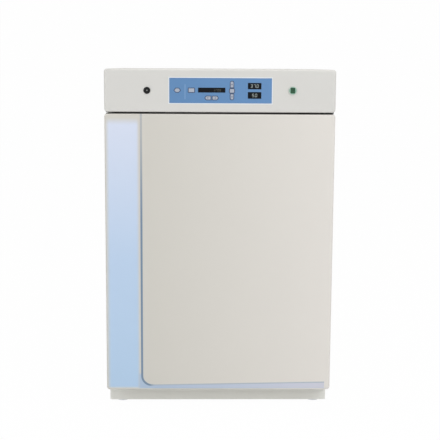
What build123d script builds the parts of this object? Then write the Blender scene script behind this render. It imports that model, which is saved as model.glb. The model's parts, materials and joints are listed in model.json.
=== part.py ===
from build123d import *
from math import cos, hypot, pi, radians, sin
import os

# Carbon dioxide incubator for the bench: a heated chamber behind a glass door and an
# insulated outer door, with a sliding control header on top.
# Millimetres. X to the right seen from the front, Y to the back, Z up.
# The origin is the middle of the footprint, on the floor.

# Overall sizes
overall_w = 660.0
overall_h = 1003.0
overall_d = 635.0
front_proud = 3.0
rear_reach = 17.0
side_step = 3.0

# Clearances
seat = 0.2
part_gap = 0.3
running = 0.05

# Cabinet
foot_h = 8.0
plinth_h = 54.0
plinth_t = 2.0
plinth_r = 5.0
plinth_flange = 70.0
plinth_boss_r = 14.0
plinth_boss_h = 12.0
sheet = 1.5
sheet_fold = 12.0
panel_edge_r = 6.0
top_cover_h = 18.0
header_h = 122.2
header_gap = 4.0
header_back_gap = 2.0

# Feet
foot_inset = 36.0
foot_pad_r = 20.0
foot_stud_r = 5.0
foot_travel = 10.0
foot_thread_left = 4.0

# Chamber
wall_side = 59.5
wall_end = 66.9
wall_rear = 37.0
cove_r = 28.0
rear_cove_r = 20.0
liner_t = 1.2
liner_flange = 5.0
heater_t = 0.8
heater_inset = 45.0
rebate_d = 16.0
rebate_side = 24.5
ledge_t = 5.0

# Air ducts and shelves
side_duct_d = 32.0
side_duct_edge = 3.0
side_duct_front = 46.0
side_duct_foot = 34.0
duct_t = 1.2
duct_slot_w = 46.0
duct_slot_h = 9.0
top_duct_drop = 60.0
top_duct_front = 96.0
top_slot_side = 6.0
top_slot_end = 40.0
shelf_count = 4
shelf_side_gap = 3.5
shelf_front_gap = 13.5
shelf_back_gap = 8.5
shelf_lip = 14.0
shelf_t = 1.2
shelf_r = 6.0
shelf_first = 96.0
shelf_headroom = 86.8
shelf_play = 1.0
channel_t = 1.5
channel_reach = 18.0
channel_in = 6.0
hole_columns = 6
hole_rows = 11
hole_bar_x = 17.7
hole_bar_y = 26.2

# Humidity pan
pan_side_in = 35.0
pan_end_in = 45.0
pan_h = 38.0
pan_r = 30.0
pan_t = 1.0
pan_rim = 6.0
pan_flare = 6.0

# Blower, its motor and the filter
wheel_r = 62.0
wheel_eye_r = 45.0
wheel_h = 40.0
wheel_plate_t = 2.0
wheel_hub_h = 16.0
wheel_lift = 3.0
blade_count = 24
blade_t = 1.4
shaft_r = 6.0
shaft_hole_r = 10.0
scroll_r_start = 74.0
scroll_r_end = 104.0
scroll_reach = 170.0
scroll_tongue = 12.0
scroll_t = 2.0
motor_r = 42.0
motor_h = 60.0
motor_foot_w = 109.0
motor_foot_d = 92.0
motor_foot_t = 3.0
motor_neck_r = 25.0
motor_neck_h = 8.0
motor_cap_t = 12.0
motor_edge = 4.0
motor_groove_w = 5.0
motor_groove_count = 8
motor_groove_d = 2.0
filter_r = 95.0
filter_h = 48.0
filter_pleats = 36
filter_plate_t = 3.0
filter_core_r = 57.0
pleat_in_r = 62.5
pleat_out_r = 88.0
band_in_r = 91.0

# Probes under the chamber's ceiling
probe_x = 60.0
probe_in = 62.0
probe_base_h = 8.0
thermometer_base_r = 9.0
thermometer_r = 3.0
thermometer_l = 58.0
gas_sensor_base_r = 14.0
gas_sensor_r = 9.5
gas_sensor_l = 44.0

# Outer door
door_t = 72.0
door_gap = 4.0
front_corner_r = 9.0
front_edge_r = 5.0
bevel_x = 20.0
bevel_y = 18.0
dish_d = 10.0
gasket_w = 10.5
gasket_t = 3.7
hinge_in_x = 15.0
hinge_in_y = 40.0
hinge_pin_r = 6.0
hinge_pin_l = 20.0
bush_r = 9.0
bush_l = 22.0
bush_proud = 0.4
bracket_t = 2.6
bracket_w = 27.0
bracket_side_in = 2.0
bracket_inner_in = 4.0
bracket_hold = 30.0
bracket_leg_t = 4.0
bracket_leg_h = 20.0
dish_in = 4.0
gasket_in = 1.5
gasket_base_t = 1.4
gasket_bulb_in = 2.0
panel_r = 4.0

# Glass door
glass_t = 5.0
glass_lap = 13.5
glass_corner_r = 10.0
glass_gasket_t = 4.0
glass_gasket_out = 3.0
glass_pin_r = 2.5
glass_barrel_r = 4.5
glass_barrel_h = 26.0
glass_ear_h = 8.0
glass_ear_in = 3.0
glass_ear_wall = 1.0
glass_leaf = 27.5
glass_hinge_in = 70.0
latch_in = 26.0
latch_shaft_r = 4.0
latch_knob_r = 10.0
latch_knob_t = 8.0
latch_knob_edge = 1.2
latch_grip_w = 5.0
latch_grip_d = 4.0
latch_wing_w = 4.0
latch_tongue_t = 2.0
latch_nut_r = 7.2
latch_nut_t = 3.0
latch_play = 1.0
keeper_w = 9.0
keeper_t = 2.0
keeper_h = 28.0
keeper_lead = 4.0

# Header
fascia_t = 2.5
panel_x = 1.0
panel_lift = 0.35
overlay_w = 292.0
overlay_h = 71.5
overlay_t = 1.0
overlay_sink = 0.2
overlay_r = 2.0
window_sink = 0.7
key_t = 2.4
key_gap = 0.3
key_travel = 0.5
board_t = 1.6
board_margin = 4.0
message_w = 77.3
message_h = 13.5
number_w = 38.2
temperature_h = 17.6
gas_h = 18.5

# Places on the control panel, across and up from its middle
message_at = (-25.35, 1.5)
temperature_at = (96.7, 13.35)
gas_at = (96.7, -12.8)
silence_at = (-123.3, 0.75)
mode_at = (-83.0, 0.95)
left_at = (-36.4, -20.65)
right_at = (-15.0, -20.65)
up_at = (32.4, 17.75)
enter_at = (32.4, -0.15)
down_at = (32.4, -17.25)

# Keys
silence_w = 20.8
silence_h = 13.6
silence_point = 6.0
mode_w = 19.4
mode_h = 14.0
mode_r = 2.0
arrow_w = 19.2
arrow_h = 12.4
arrow_point = 4.6
round_key_w = 11.6
up_key_h = 19.9
down_key_h = 18.2
enter_w = 15.8
enter_h = 14.0
enter_r = 3.6

# Sample port and power switch, beside the control panel
port_out = 63.2
port_lift = 0.4
port_collar_r = 9.8
port_collar_edge = 1.4
port_body_r = 7.8
port_bore_r = 6.5
port_depth = 14.0
port_floor_t = 3.0
port_barb_r = 3.2
port_barb_l = 14.0
port_barb_bore_r = 1.6
cap_sink = 0.8
cap_edge = 1.0
switch_out = 59.3
switch_lift = 1.7
bezel_r = 13.0
bezel_edge = 1.2
bezel_body_r = 11.2
bezel_body_l = 20.0
bezel_well = 14.0
rocker_w = 12.0
rocker_h = 14.0
rocker_gap = 0.8
rocker_tilt = 8.0
rocker_in = 3.6
rocker_end_t = 4.8
rocker_waist_t = 3.4
rocker_back_t = 5.0
rocker_pin_r = 1.2
rocker_pin_l = 1.5

# Electronics drawer
tray_side_gap = 13.5
tray_lift = 9.0
tray_front_in = 20.0
tray_foot_d = 40.0
tray_motor_gap = 8.0
tray_wall = 28.0
rail_w = 12.0
rail_h = 24.0
rail_in = 6.0
rail_past = 20.0
rail_slack = 0.5
supply_in = 40.0
supply_w = 180.0
supply_h = 52.0
supply_front_in = 30.0
supply_back_in = 20.0
supply_slots = 9
supply_slot_w = 5.0
supply_slot_h = 30.0
card_in = 70.0
card_gap = 40.0
card_front_in = 12.0
card_back_in = 24.0
card_stand = 8.0
card_stand_r = 4.0
capacitor_r = 8.0
capacitor_h = 22.0
capacitor_pitch = 24.0
relay_w = 36.0
relay_d = 22.0
relay_h = 18.0
relay_gap = 22.0
fin_count = 7
fin_t = 2.5
fin_pitch = 7.0
fin_h = 30.0

# Rear fittings
access_x = -150.0
access_drop = 149.9
access_bore_r = 16.5
access_wall = 3.0
access_flange_r = 30.0
access_flange_t = 4.0
access_past = 6.0
access_inside = 4.0
stopper_l = 34.0
stopper_edge = 2.0
fitting_lift = 44.2
inlet_x = -235.0
inlet_w = 48.0
inlet_h = 28.0
inlet_ear = 4.0
inlet_face_t = 3.0
inlet_depth = 24.0
inlet_mouth_w = 27.0
inlet_mouth_h = 19.0
inlet_mouth_d = 14.0
inlet_pin_w = 2.0
inlet_pin_h = 4.0
inlet_pin_pitch = 7.0
gas_x = 205.0
gas_spigot_r = 4.0
gas_spigot_l = 13.0
gas_body_r = 6.0
gas_body_l = 20.0
gas_nut_r = 9.0
gas_bore_r = 2.0
vent_x = 90.0
vent_w = 5.0
vent_h = 42.0
vent_pitch = 14.0
vent_count = 7

# Places worked out from the sizes
half_w = overall_w / 2
door_front = -overall_d / 2
door_back = door_front + door_t
face_y = door_back + door_gap
rear_end = overall_d / 2 + front_proud
rear_y = rear_end - rear_reach
cab_half = half_w - side_step
cab_in = cab_half - sheet
mid_y = (face_y + rear_y) / 2
cab_d = rear_y - face_y
plinth_top = foot_h + plinth_h
header_z0 = overall_h - header_h
header_mid = overall_h - header_h / 2
door_z0 = plinth_top
door_z1 = header_z0 - header_gap
door_h = door_z1 - door_z0
door_mid = (door_z0 + door_z1) / 2
bush_gap = bush_proud + part_gap
frame_top = door_z1 + bush_gap
cover_z0 = overall_h - top_cover_h
foot_stud_h = foot_h + plinth_t + plinth_boss_h + foot_travel + foot_thread_left
chamber_w = overall_w - 2 * wall_side
chamber_h = door_h - 2 * wall_end
chamber_d = cab_d - wall_rear
chamber_half = chamber_w / 2
chamber_z0 = door_mid - chamber_h / 2
chamber_z1 = door_mid + chamber_h / 2
chamber_back = face_y + chamber_d
ledge_y = face_y + rebate_d
slab_front = ledge_y + ledge_t
rebate_half = chamber_half + rebate_side
rebate_half_h = chamber_h / 2 + rebate_side
duct_face = chamber_half - side_duct_d
duct_back = chamber_back - rear_cove_r - seat
side_duct_y = (face_y + side_duct_front, duct_back)
top_duct_z = chamber_z1 - top_duct_drop
top_duct_y = (face_y + top_duct_front, duct_back)
blower_y = sum(top_duct_y) / 2
shelf_back = chamber_back - shelf_back_gap
shelf_front = ledge_y + shelf_front_gap
shelf_mid_y = (shelf_front + shelf_back) / 2
shelf_w = 2 * (duct_face - shelf_side_gap)
shelf_d = shelf_back - shelf_front
shelf_last = top_duct_z - seat - filter_h - shelf_headroom
shelf_pitch = (shelf_last - chamber_z0 - shelf_first) / (shelf_count - 1)
shelf_tops = [chamber_z0 + shelf_first + i * shelf_pitch for i in range(shelf_count)]
pan_w = shelf_w - 2 * pan_side_in
pan_d = shelf_d - 2 * pan_end_in
hinge_x = half_w - hinge_in_x
hinge_y = door_back - hinge_in_y
glass_back = ledge_y - glass_gasket_t - part_gap
glass_front = glass_back - glass_t
glass_half = chamber_half + glass_lap
glass_half_h = chamber_h / 2 + glass_lap
glass_pin_x = rebate_half - glass_barrel_r - 1.0
glass_pin_y = glass_front - latch_tongue_t + part_gap
latch_x = -(glass_half - latch_in)
latch_z = door_mid
latch_reach = rebate_half + latch_x - keeper_t - latch_play
fascia_y1 = face_y - header_back_gap
panel_z = header_mid + panel_lift
port_x = panel_x - overlay_w / 2 - port_out
port_z = header_mid + port_lift
switch_x = panel_x + overlay_w / 2 + switch_out
switch_z = header_mid + switch_lift
port_front = door_front - front_proud
rocker_y = door_front + rocker_in
board_front = door_front + key_t + key_travel + seat
tray_z = header_z0 + tray_lift
tray_half_w = cab_in - rail_w - tray_side_gap
tray_back = blower_y - motor_foot_d / 2 - tray_motor_gap
rail_front = face_y + rail_in
supply_x1 = tray_half_w - supply_in
supply_x0 = supply_x1 - supply_w
card_x0 = card_in - tray_half_w
card_x1 = supply_x0 - card_gap
access_z = chamber_z1 - access_drop
inlet_z = header_z0 + fitting_lift
gas_inlet_z = header_z0 + fitting_lift


def span(x, y, z):
    """A block between three pairs of limits."""
    low = [min(a, b) for a, b in (x, y, z)]
    high = [max(a, b) for a, b in (x, y, z)]
    middle = [(a + b) / 2 for a, b in zip(low, high)]
    return Pos(*middle) * Box(*[b - a for a, b in zip(low, high)])


def front_prism(sketch, y0, y1):
    """A front-view sketch, X across and Z up, drawn out from y0 at the front to y1."""
    plane = Plane(origin=(0, y1, 0), x_dir=(1, 0, 0), z_dir=(0, -1, 0))
    return extrude(plane * sketch, amount=y1 - y0, dir=(0, -1, 0))


def top_prism(sketch, z0, z1):
    """A top-view sketch raised from z0 to z1."""
    return extrude(Pos(0, 0, z0) * sketch, amount=z1 - z0, dir=(0, 0, 1))


def side_prism(sketch, x0, x1):
    """A side-view sketch, Y across and Z up, drawn out from x0 to x1."""
    plane = Plane(origin=(x0, 0, 0), x_dir=(0, 1, 0), z_dir=(1, 0, 0))
    return extrude(plane * sketch, amount=x1 - x0, dir=(1, 0, 0))


def rod(x, y, z0, z1, r):
    """An upright round bar."""
    return Pos(x, y, (z0 + z1) / 2) * Cylinder(r, z1 - z0)


def rod_y(x, z, y0, y1, r):
    """A round bar that runs front to back."""
    return Pos(x, (y0 + y1) / 2, z) * Rot(90, 0, 0) * Cylinder(r, y1 - y0)


def plate_xz(half_x, half_z, r, mid_z):
    """A rounded front-view rectangle about the middle of the width."""
    return Pos(0, mid_z) * RectangleRounded(2 * half_x, 2 * half_z, r)


def both_sides(shape):
    """The shape and its mirror image across the middle of the width."""
    return Compound([*shape.solids(), *mirror(shape, about=Plane.YZ).solids()])


# Plinth and feet


def foot_places():
    x = cab_half - foot_inset
    return [(sx * x, y) for y in (face_y + foot_inset, rear_y - foot_inset) for sx in (-1, 1)]


def base_frame():
    outline = Pos(0, mid_y) * RectangleRounded(2 * cab_half, cab_d, plinth_r)
    inside = Pos(0, mid_y) * Rectangle(2 * (cab_half - plinth_t), cab_d - 2 * plinth_t)
    mouth = Pos(0, mid_y) * RectangleRounded(
        2 * (cab_half - plinth_flange), cab_d - 2 * plinth_flange, plinth_boss_r
    )
    frame = top_prism(outline, foot_h, plinth_top)
    frame -= top_prism(inside, foot_h + plinth_t, plinth_top - plinth_t)
    frame -= top_prism(mouth, foot_h, foot_h + plinth_t)
    for x, y in foot_places():
        frame += rod(x, y, foot_h + plinth_t, foot_h + plinth_t + plinth_boss_h, plinth_boss_r)
    for x, y in foot_places():
        frame -= rod(x, y, foot_h, foot_h + plinth_t + plinth_boss_h, foot_stud_r + running)
    return frame


def levelling_foot(x, y):
    pad_top = foot_h - part_gap
    points = [
        (0, 0),
        (foot_pad_r, 0),
        (foot_pad_r, pad_top / 2),
        (2 * foot_stud_r, pad_top),
        (foot_stud_r, pad_top),
        (foot_stud_r, foot_stud_h),
        (0, foot_stud_h),
    ]
    profile = Plane.XZ * make_face(Polyline(*points, close=True))
    return Pos(x, y, 0) * revolve(profile, Axis.Z)


# Outer shell of the cabinet


def side_panel(side):
    wall = span((cab_in, cab_half), (face_y, rear_y), (plinth_top, cover_z0 - seat))
    fold_x = (cab_half - sheet_fold, cab_in)
    folds = span(fold_x, (slab_front, rear_y - sheet - seat), (plinth_top, plinth_top + sheet))
    folds += span(
        fold_x, (face_y, rear_y - sheet - seat), (cover_z0 - seat - sheet, cover_z0 - seat)
    )
    panel = wall + folds
    return panel if side > 0 else mirror(panel, about=Plane.YZ)


def vent_slots():
    """Two banks of upright slots for the electronics bay."""
    slots = []
    for bank_x in (-vent_x, vent_x):
        for i in range(vent_count):
            x = bank_x + (i - (vent_count - 1) / 2) * vent_pitch
            slots.append(Pos(x, inlet_z) * SlotOverall(vent_h, vent_w, rotation=90))
    return slots


def rear_panel():
    z0 = plinth_top + sheet + seat
    z1 = cover_z0 - seat
    half = cab_in - seat
    panel = span((-half, half), (rear_y - sheet, rear_y), (z0, z1))
    holes = [Pos(access_x, access_z) * Circle(access_bore_r + access_wall + seat)]
    holes.append(Pos(inlet_x, inlet_z) * Rectangle(inlet_w - 2 * inlet_ear, inlet_h + 2 * seat))
    holes.append(Pos(gas_x, gas_inlet_z) * Circle(gas_body_r + seat))
    holes.extend(vent_slots())
    for hole in holes:
        panel -= front_prism(hole, rear_y - 2 * sheet, rear_y + sheet)
    return panel


def top_cover():
    outer = span((-cab_half, cab_half), (face_y, rear_y), (cover_z0, overall_h))
    outer = fillet(outer.edges().filter_by(Axis.Z).sort_by(Axis.Y)[-2:], panel_edge_r)
    rim = outer.faces().sort_by(Axis.Z)[-1].edges()
    outer = fillet([e for e in rim if e.center().Y > face_y + sheet], panel_edge_r - 2.0)
    inner = span((-cab_in, cab_in), (face_y + sheet, rear_y - sheet), (cover_z0, overall_h - sheet))
    inner = fillet(inner.edges().filter_by(Axis.Z), panel_edge_r - sheet)
    rim_in = inner.faces().sort_by(Axis.Z)[-1].edges()
    inner = fillet(rim_in, panel_edge_r - 2.0 - sheet)
    return outer - inner


# Chamber, its frame and the insulation


def face_frame():
    """A collar round the rebate, on the ledge that the glass door closes against."""
    bottom, top = plinth_top, frame_top
    middle = (bottom + top) / 2
    outline = Pos(0, middle) * Rectangle(2 * (cab_in - seat), top - bottom)
    collar = front_prism(outline, face_y, ledge_y)
    collar -= front_prism(plate_xz(rebate_half, rebate_half_h, cove_r, door_mid), face_y, ledge_y)
    ledge = front_prism(outline, ledge_y, slab_front)
    hole = plate_xz(
        chamber_half + liner_t + seat, chamber_h / 2 + liner_t + seat, cove_r + liner_t, door_mid
    )
    ledge -= front_prism(hole, ledge_y, slab_front)
    return Compound([*collar.solids(), *ledge.solids()])


def liner_shape(grow, y0):
    body = front_prism(
        plate_xz(chamber_half + grow, chamber_h / 2 + grow, cove_r + grow, door_mid),
        y0,
        chamber_back + grow,
    )
    return fillet(body.faces().sort_by(Axis.Y)[-1].edges(), rear_cove_r + grow)


def chamber_liner():
    liner = liner_shape(liner_t, ledge_y)
    rim = liner_t + liner_flange
    flange = plate_xz(chamber_half + rim, chamber_h / 2 + rim, cove_r + rim, door_mid)
    liner += front_prism(flange, ledge_y - liner_t, ledge_y)
    liner -= liner_shape(0, ledge_y - 2 * liner_t)
    liner -= rod(0, blower_y, chamber_z1 - 1, chamber_z1 + 2 * liner_t, shaft_hole_r)
    port = access_bore_r + access_wall + seat
    return liner - rod_y(access_x, access_z, chamber_back - 1, chamber_back + 2 * liner_t, port)


def chamber_heaters():
    """Foil mats on the outside of the liner's walls and floor."""
    x = chamber_half + liner_t
    y = (slab_front + heater_inset, chamber_back - heater_inset)
    z = (chamber_z0 + heater_inset, chamber_z1 - heater_inset)
    wall_mat = span((x, x + heater_t), y, z)
    floor_z = chamber_z0 - liner_t
    floor_x = chamber_half - heater_inset
    floor_mat = span((-floor_x, floor_x), y, (floor_z - heater_t, floor_z))
    return Compound([*both_sides(wall_mat).solids(), *floor_mat.solids()])


def jacket_insulation():
    """Five foam slabs about the chamber."""
    x_in = chamber_half + liner_t + heater_t
    x_out = cab_in - seat
    y1 = rear_y - sheet - seat
    z0 = plinth_top + sheet
    floor_top = chamber_z0 - liner_t - heater_t
    ceiling = chamber_z1 + liner_t
    wall_slab = span((x_in, x_out), (slab_front, y1), (z0, frame_top))
    floor_slab = span((-x_in, x_in), (slab_front, y1), (z0, floor_top))
    top_slab = span((-x_in, x_in), (slab_front, y1), (ceiling, frame_top))
    top_slab -= rod(0, blower_y, ceiling, frame_top, shaft_hole_r)
    rear_slab = span((-x_in, x_in), (chamber_back + liner_t, y1), (floor_top, ceiling))
    port = access_bore_r + access_wall + seat
    rear_slab -= rod_y(access_x, access_z, chamber_back, y1, port)
    slabs = [*both_sides(wall_slab).solids()]
    for slab in (floor_slab, top_slab, rear_slab):
        slabs.extend(slab.solids())
    return Compound(slabs)


# Ducts, channels and shelves


def side_ducts():
    y0, y1 = side_duct_y
    z = (chamber_z0 + side_duct_foot, top_duct_z - seat)
    wall_x = chamber_half - seat
    duct = span((duct_face, wall_x), (y0, y1), z)
    edges = duct.edges().filter_by(Axis.Z).sort_by(Axis.X)[:2]
    duct = fillet(edges, side_duct_edge)
    duct -= span((duct_face + duct_t, wall_x + 1), (y0 + duct_t, y1 - duct_t), z)
    columns = 2
    for i in range(columns):
        y = y0 + (y1 - y0) * (i + 0.5) / columns
        for top in shelf_tops:
            z_slot = top + shelf_pitch / 2
            slot = Pos(y, z_slot) * SlotOverall(duct_slot_w, duct_slot_h)
            duct -= side_prism(slot, duct_face - 1, duct_face + 2 * duct_t)
    return both_sides(duct)


def shelf_channels():
    """Eight folded channels that the shelves slide in."""
    x1 = duct_face - seat
    x0 = x1 - channel_reach
    y = (shelf_front + channel_in, shelf_back + part_gap)
    channels = []
    for top in shelf_tops:
        low = top - shelf_lip - part_gap
        high = top + shelf_play
        outer = span((x0, x1), (y[0], y[1] + channel_t), (low - channel_t, high + channel_t))
        channels.append(outer - span((x0 - 1, x1 - channel_t), y, (low, high)))
    return both_sides(Compound([solid for c in channels for solid in c.solids()]))


def shelf(top):
    outline = RectangleRounded(shelf_w, shelf_d, shelf_r)
    inside = RectangleRounded(shelf_w - 2 * shelf_t, shelf_d - 2 * shelf_t, shelf_r - shelf_t)
    tray = top_prism(outline, top - shelf_lip, top)
    tray -= top_prism(inside, top - shelf_lip, top - shelf_t)
    pitch_x = (shelf_w - 2 * shelf_lip) / hole_columns
    pitch_y = (shelf_d - 2 * shelf_lip) / hole_rows
    hole = Rectangle(pitch_x - hole_bar_x, pitch_y - hole_bar_y)
    holes = [
        Pos((i - (hole_columns - 1) / 2) * pitch_x, (j - (hole_rows - 1) / 2) * pitch_y) * hole
        for i in range(hole_columns)
        for j in range(hole_rows)
    ]
    tray -= top_prism(Sketch() + holes, top - 2 * shelf_t, top + shelf_t)
    return Pos(0, shelf_mid_y, 0) * tray


def humidity_pan():
    z0 = chamber_z0 + part_gap
    z1 = z0 + pan_h

    def level(inset, z):
        return Pos(0, 0, z) * RectangleRounded(pan_w - 2 * inset, pan_d - 2 * inset, pan_r - inset)

    pan = loft([level(pan_flare, z0), level(0, z1)]) + top_prism(level(-pan_rim, 0), z1 - pan_t, z1)
    pan -= loft([level(pan_flare + pan_t, z0 + pan_t), level(pan_t, z1)])
    return Pos(0, shelf_mid_y, 0) * pan


# Air system


def top_duct():
    y0, y1 = top_duct_y
    wall_x = chamber_half - seat
    high = chamber_z1 - seat
    duct = span((-wall_x, wall_x), (y0, y1), (top_duct_z, high))
    duct -= span((-wall_x - 1, wall_x + 1), (y0 + duct_t, y1 - duct_t), (top_duct_z + duct_t, high + 1))
    duct = duct & liner_shape(-seat, y0)
    duct -= rod(0, blower_y, top_duct_z - 1, top_duct_z + 2 * duct_t, wheel_eye_r)
    slot_x = (duct_face + top_slot_side, wall_x - top_slot_side)
    slot_y = (y0 + top_slot_end, y1 - top_slot_end)
    slot = span(slot_x, slot_y, (top_duct_z - 1, top_duct_z + 2 * duct_t))
    return duct - slot - mirror(slot, about=Plane.YZ)


def scroll_face(shrink):
    """The scroll's outline, drawn in by shrink: three tangent arcs that widen, and an outlet."""
    step = (scroll_r_end - scroll_r_start) / 3
    half = step / 2
    centres = ((-half, half), (-half, -half), (half, -half))
    arcs = [
        CenterArc(centre, scroll_r_start + half + i * step - shrink, 90 * i, 90)
        for i, centre in enumerate(centres)
    ]
    start, end = arcs[0] @ 0, arcs[-1] @ 1
    tongue_y = -scroll_tongue - shrink
    outlet = Polyline(end, (scroll_reach, end.Y), (scroll_reach, tongue_y), (start.X, tongue_y), start)
    return Pos(0, blower_y) * make_face(Curve() + arcs + outlet)


def blower_scroll():
    z0 = top_duct_z + duct_t
    z1 = chamber_z1 - seat
    scroll = top_prism(scroll_face(0), z0, z1) - top_prism(scroll_face(scroll_t), z0 + scroll_t, z1)
    mouth_y = (blower_y - scroll_r_end + scroll_t, blower_y - scroll_tongue - scroll_t)
    reach = (scroll_reach - 2 * scroll_t, scroll_reach + 1)
    scroll -= span(reach, mouth_y, (z0 + scroll_t, z1))
    return scroll - rod(0, blower_y, z0, z0 + scroll_t, wheel_eye_r)


def blade_face():
    """One forward-curved blade, from the eye to the rim."""
    r_in, r_out = wheel_eye_r, wheel_r - blade_t
    r_mid = (r_in + r_out) / 2
    turns = ((r_in, 0.0), (r_mid, 4.0), (r_out, 12.0))

    def point(r, degrees, shift):
        angle = radians(degrees) + shift / r
        return (r * cos(angle), r * sin(angle))

    one = ThreePointArc(*[point(r, a, 0) for r, a in turns])
    two = ThreePointArc(*[point(r, a, blade_t) for r, a in turns])
    return make_face(one + two + Line(one @ 0, two @ 0) + Line(one @ 1, two @ 1))


def wheel_limits():
    z0 = top_duct_z + duct_t + scroll_t + wheel_lift
    return z0, z0 + wheel_h


def blower_wheel():
    z0, z1 = wheel_limits()
    wheel = top_prism(Circle(wheel_r), z1 - wheel_plate_t, z1)
    wheel += top_prism(Circle(wheel_r) - Circle(wheel_eye_r), z0, z0 + wheel_plate_t)
    blade = blade_face()
    blades = Sketch() + [Rot(0, 0, 360 * i / blade_count) * blade for i in range(blade_count)]
    wheel += top_prism(blades, z0 + wheel_plate_t, z1 - wheel_plate_t)
    wheel += top_prism(Circle(2 * shaft_r), z1 - wheel_hub_h, z1 - wheel_plate_t)
    wheel -= top_prism(Circle(shaft_r + running), z1 - wheel_hub_h, z1)
    return Pos(0, blower_y, 0) * wheel


def motor_limits():
    return frame_top, frame_top + motor_h


def blower_shaft():
    hub_low = wheel_limits()[1] - wheel_hub_h
    return rod(0, blower_y, hub_low - wheel_plate_t, motor_limits()[1] - motor_cap_t, shaft_r)


def blower_motor():
    z0, z1 = motor_limits()
    foot_top = z0 + motor_foot_t
    neck_top = foot_top + motor_neck_h
    can = top_prism(Circle(motor_r), neck_top, z1)
    can = chamfer(can.faces().sort_by(Axis.Z)[-1].edges(), motor_edge)
    motor = can + top_prism(RectangleRounded(motor_foot_w, motor_foot_d, motor_neck_h), z0, foot_top)
    motor += top_prism(Circle(motor_neck_r), foot_top, neck_top)
    groove_h = z1 - neck_top - 4 * motor_edge
    groove = Pos(motor_r, 0, (neck_top + z1) / 2) * Box(2 * motor_groove_d, motor_groove_w, groove_h)
    for i in range(motor_groove_count):
        motor -= Rot(0, 0, 360 * i / motor_groove_count) * groove
    motor -= top_prism(Circle(shaft_r + running), z0, z1 - motor_cap_t + seat)
    return Pos(0, blower_y, 0) * motor


def pleat_face():
    """The zigzag edge of the pleated media, about a round core."""
    count = 2 * filter_pleats
    points = []
    for i in range(count):
        r = pleat_out_r if i % 2 else pleat_in_r
        angle = 2 * pi * i / count
        points.append((r * cos(angle), r * sin(angle)))
    return make_face(Polyline(*points, close=True)) - Circle(filter_core_r)


def hepa_filter():
    z1 = top_duct_z - seat
    z0 = z1 - filter_h
    head = z1 - filter_plate_t
    foot = z0 + filter_plate_t
    case = top_prism(Circle(filter_r) - Circle(wheel_eye_r), head, z1)
    case += top_prism(Circle(filter_r) - Circle(band_in_r), head - 2 * filter_plate_t, head)
    case += top_prism(pleat_face(), foot, head) + top_prism(Circle(band_in_r), z0, foot)
    return Pos(0, blower_y, 0) * case


def chamber_probes():
    """The temperature probe and the gas sensor, under the chamber's ceiling."""
    y = face_y + probe_in
    base_low = chamber_z1 - probe_base_h
    forms = (
        (-probe_x, thermometer_base_r, thermometer_r, thermometer_l),
        (probe_x, gas_sensor_base_r, gas_sensor_r, gas_sensor_l),
    )
    probes = []
    for x, base_r, tip_r, tip_l in forms:
        base = rod(x, y, base_low, chamber_z1, base_r)
        tip = rod(x, y, chamber_z1 - tip_l, base_low, tip_r)
        tip = chamfer(tip.faces().sort_by(Axis.Z)[0].edges(), tip_r / 3)
        probes.extend((base + tip).solids())
    return Compound(probes)


# Outer door


def door_section(inset):
    """Top view of the door: its rear corners are bevelled for the fingers."""
    k = inset * hypot(bevel_x, bevel_y) / bevel_y
    side = half_w - inset
    bevel_end = half_w - bevel_x - k
    bevel_start = door_back - bevel_y - (k - inset) * bevel_y / bevel_x
    right = [(side, door_front + inset), (side, bevel_start), (bevel_end, door_back)]
    left = [(-x, y) for x, y in reversed(right)]
    return make_face(Polyline(*right, *left, close=True))


def door_volume(inset):
    outline = plate_xz(half_w - inset, door_h / 2 - inset, front_corner_r - inset, door_mid)
    body = front_prism(outline, door_front + inset, door_back)
    return body & top_prism(door_section(inset), door_z0, door_z1)


def soft_front(body, r):
    """Rounds the rim of the front face."""
    return fillet(body.faces().sort_by(Axis.Y)[0].edges(), r)


def bush_holes():
    r = bush_r + seat
    return rod(hinge_x, hinge_y, door_z1 - bush_l - seat, door_z1 + 1, r) + rod(
        hinge_x, hinge_y, door_z0 - 1, door_z0 + bush_l + seat, r
    )


def panel_half():
    """Half the width and height of the inner panel."""
    k = sheet * hypot(bevel_x, bevel_y) / bevel_y
    return half_w - bevel_x - k - seat, door_h / 2 - sheet - seat


def dish(grow, depth):
    half, half_h = rebate_half - dish_in, rebate_half_h - dish_in
    outline = plate_xz(half + grow, half_h + grow, cove_r + grow, door_mid)
    return front_prism(outline, door_back - depth, door_back)


def door_skin():
    skin = soft_front(door_volume(0), front_edge_r)
    return skin - soft_front(door_volume(sheet), front_edge_r - sheet) - bush_holes()


def door_inner_panel():
    half, half_h = panel_half()
    panel = front_prism(plate_xz(half, half_h, panel_r, door_mid), door_back - liner_t, door_back)
    return panel + dish(liner_t, dish_d + liner_t) - dish(0, dish_d)


def door_insulation():
    fill = soft_front(door_volume(sheet + seat), front_edge_r - sheet)
    fill -= span((-half_w, half_w), (door_back - liner_t - seat, door_back + 1), (door_z0, door_z1))
    return fill - dish(liner_t + seat, dish_d + liner_t + seat) - bush_holes()


def ring_xz(half, half_h, r, width):
    """A rounded front-view frame, from its inner half sizes."""
    outer = plate_xz(half + width, half_h + width, r + width, door_mid)
    return outer - plate_xz(half, half_h, r, door_mid)


def door_gasket():
    """A magnetic strip: a flat base, and a narrower bulb that meets the frame."""
    half, half_h = rebate_half + gasket_in, rebate_half_h + gasket_in
    slim = gasket_bulb_in
    base_y = door_back + gasket_base_t
    base = front_prism(ring_xz(half, half_h, cove_r, gasket_w), door_back, base_y)
    bulb = ring_xz(half + slim, half_h + slim, cove_r + slim, gasket_w - 2 * slim)
    return base + front_prism(bulb, base_y, door_back + gasket_t)


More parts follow.
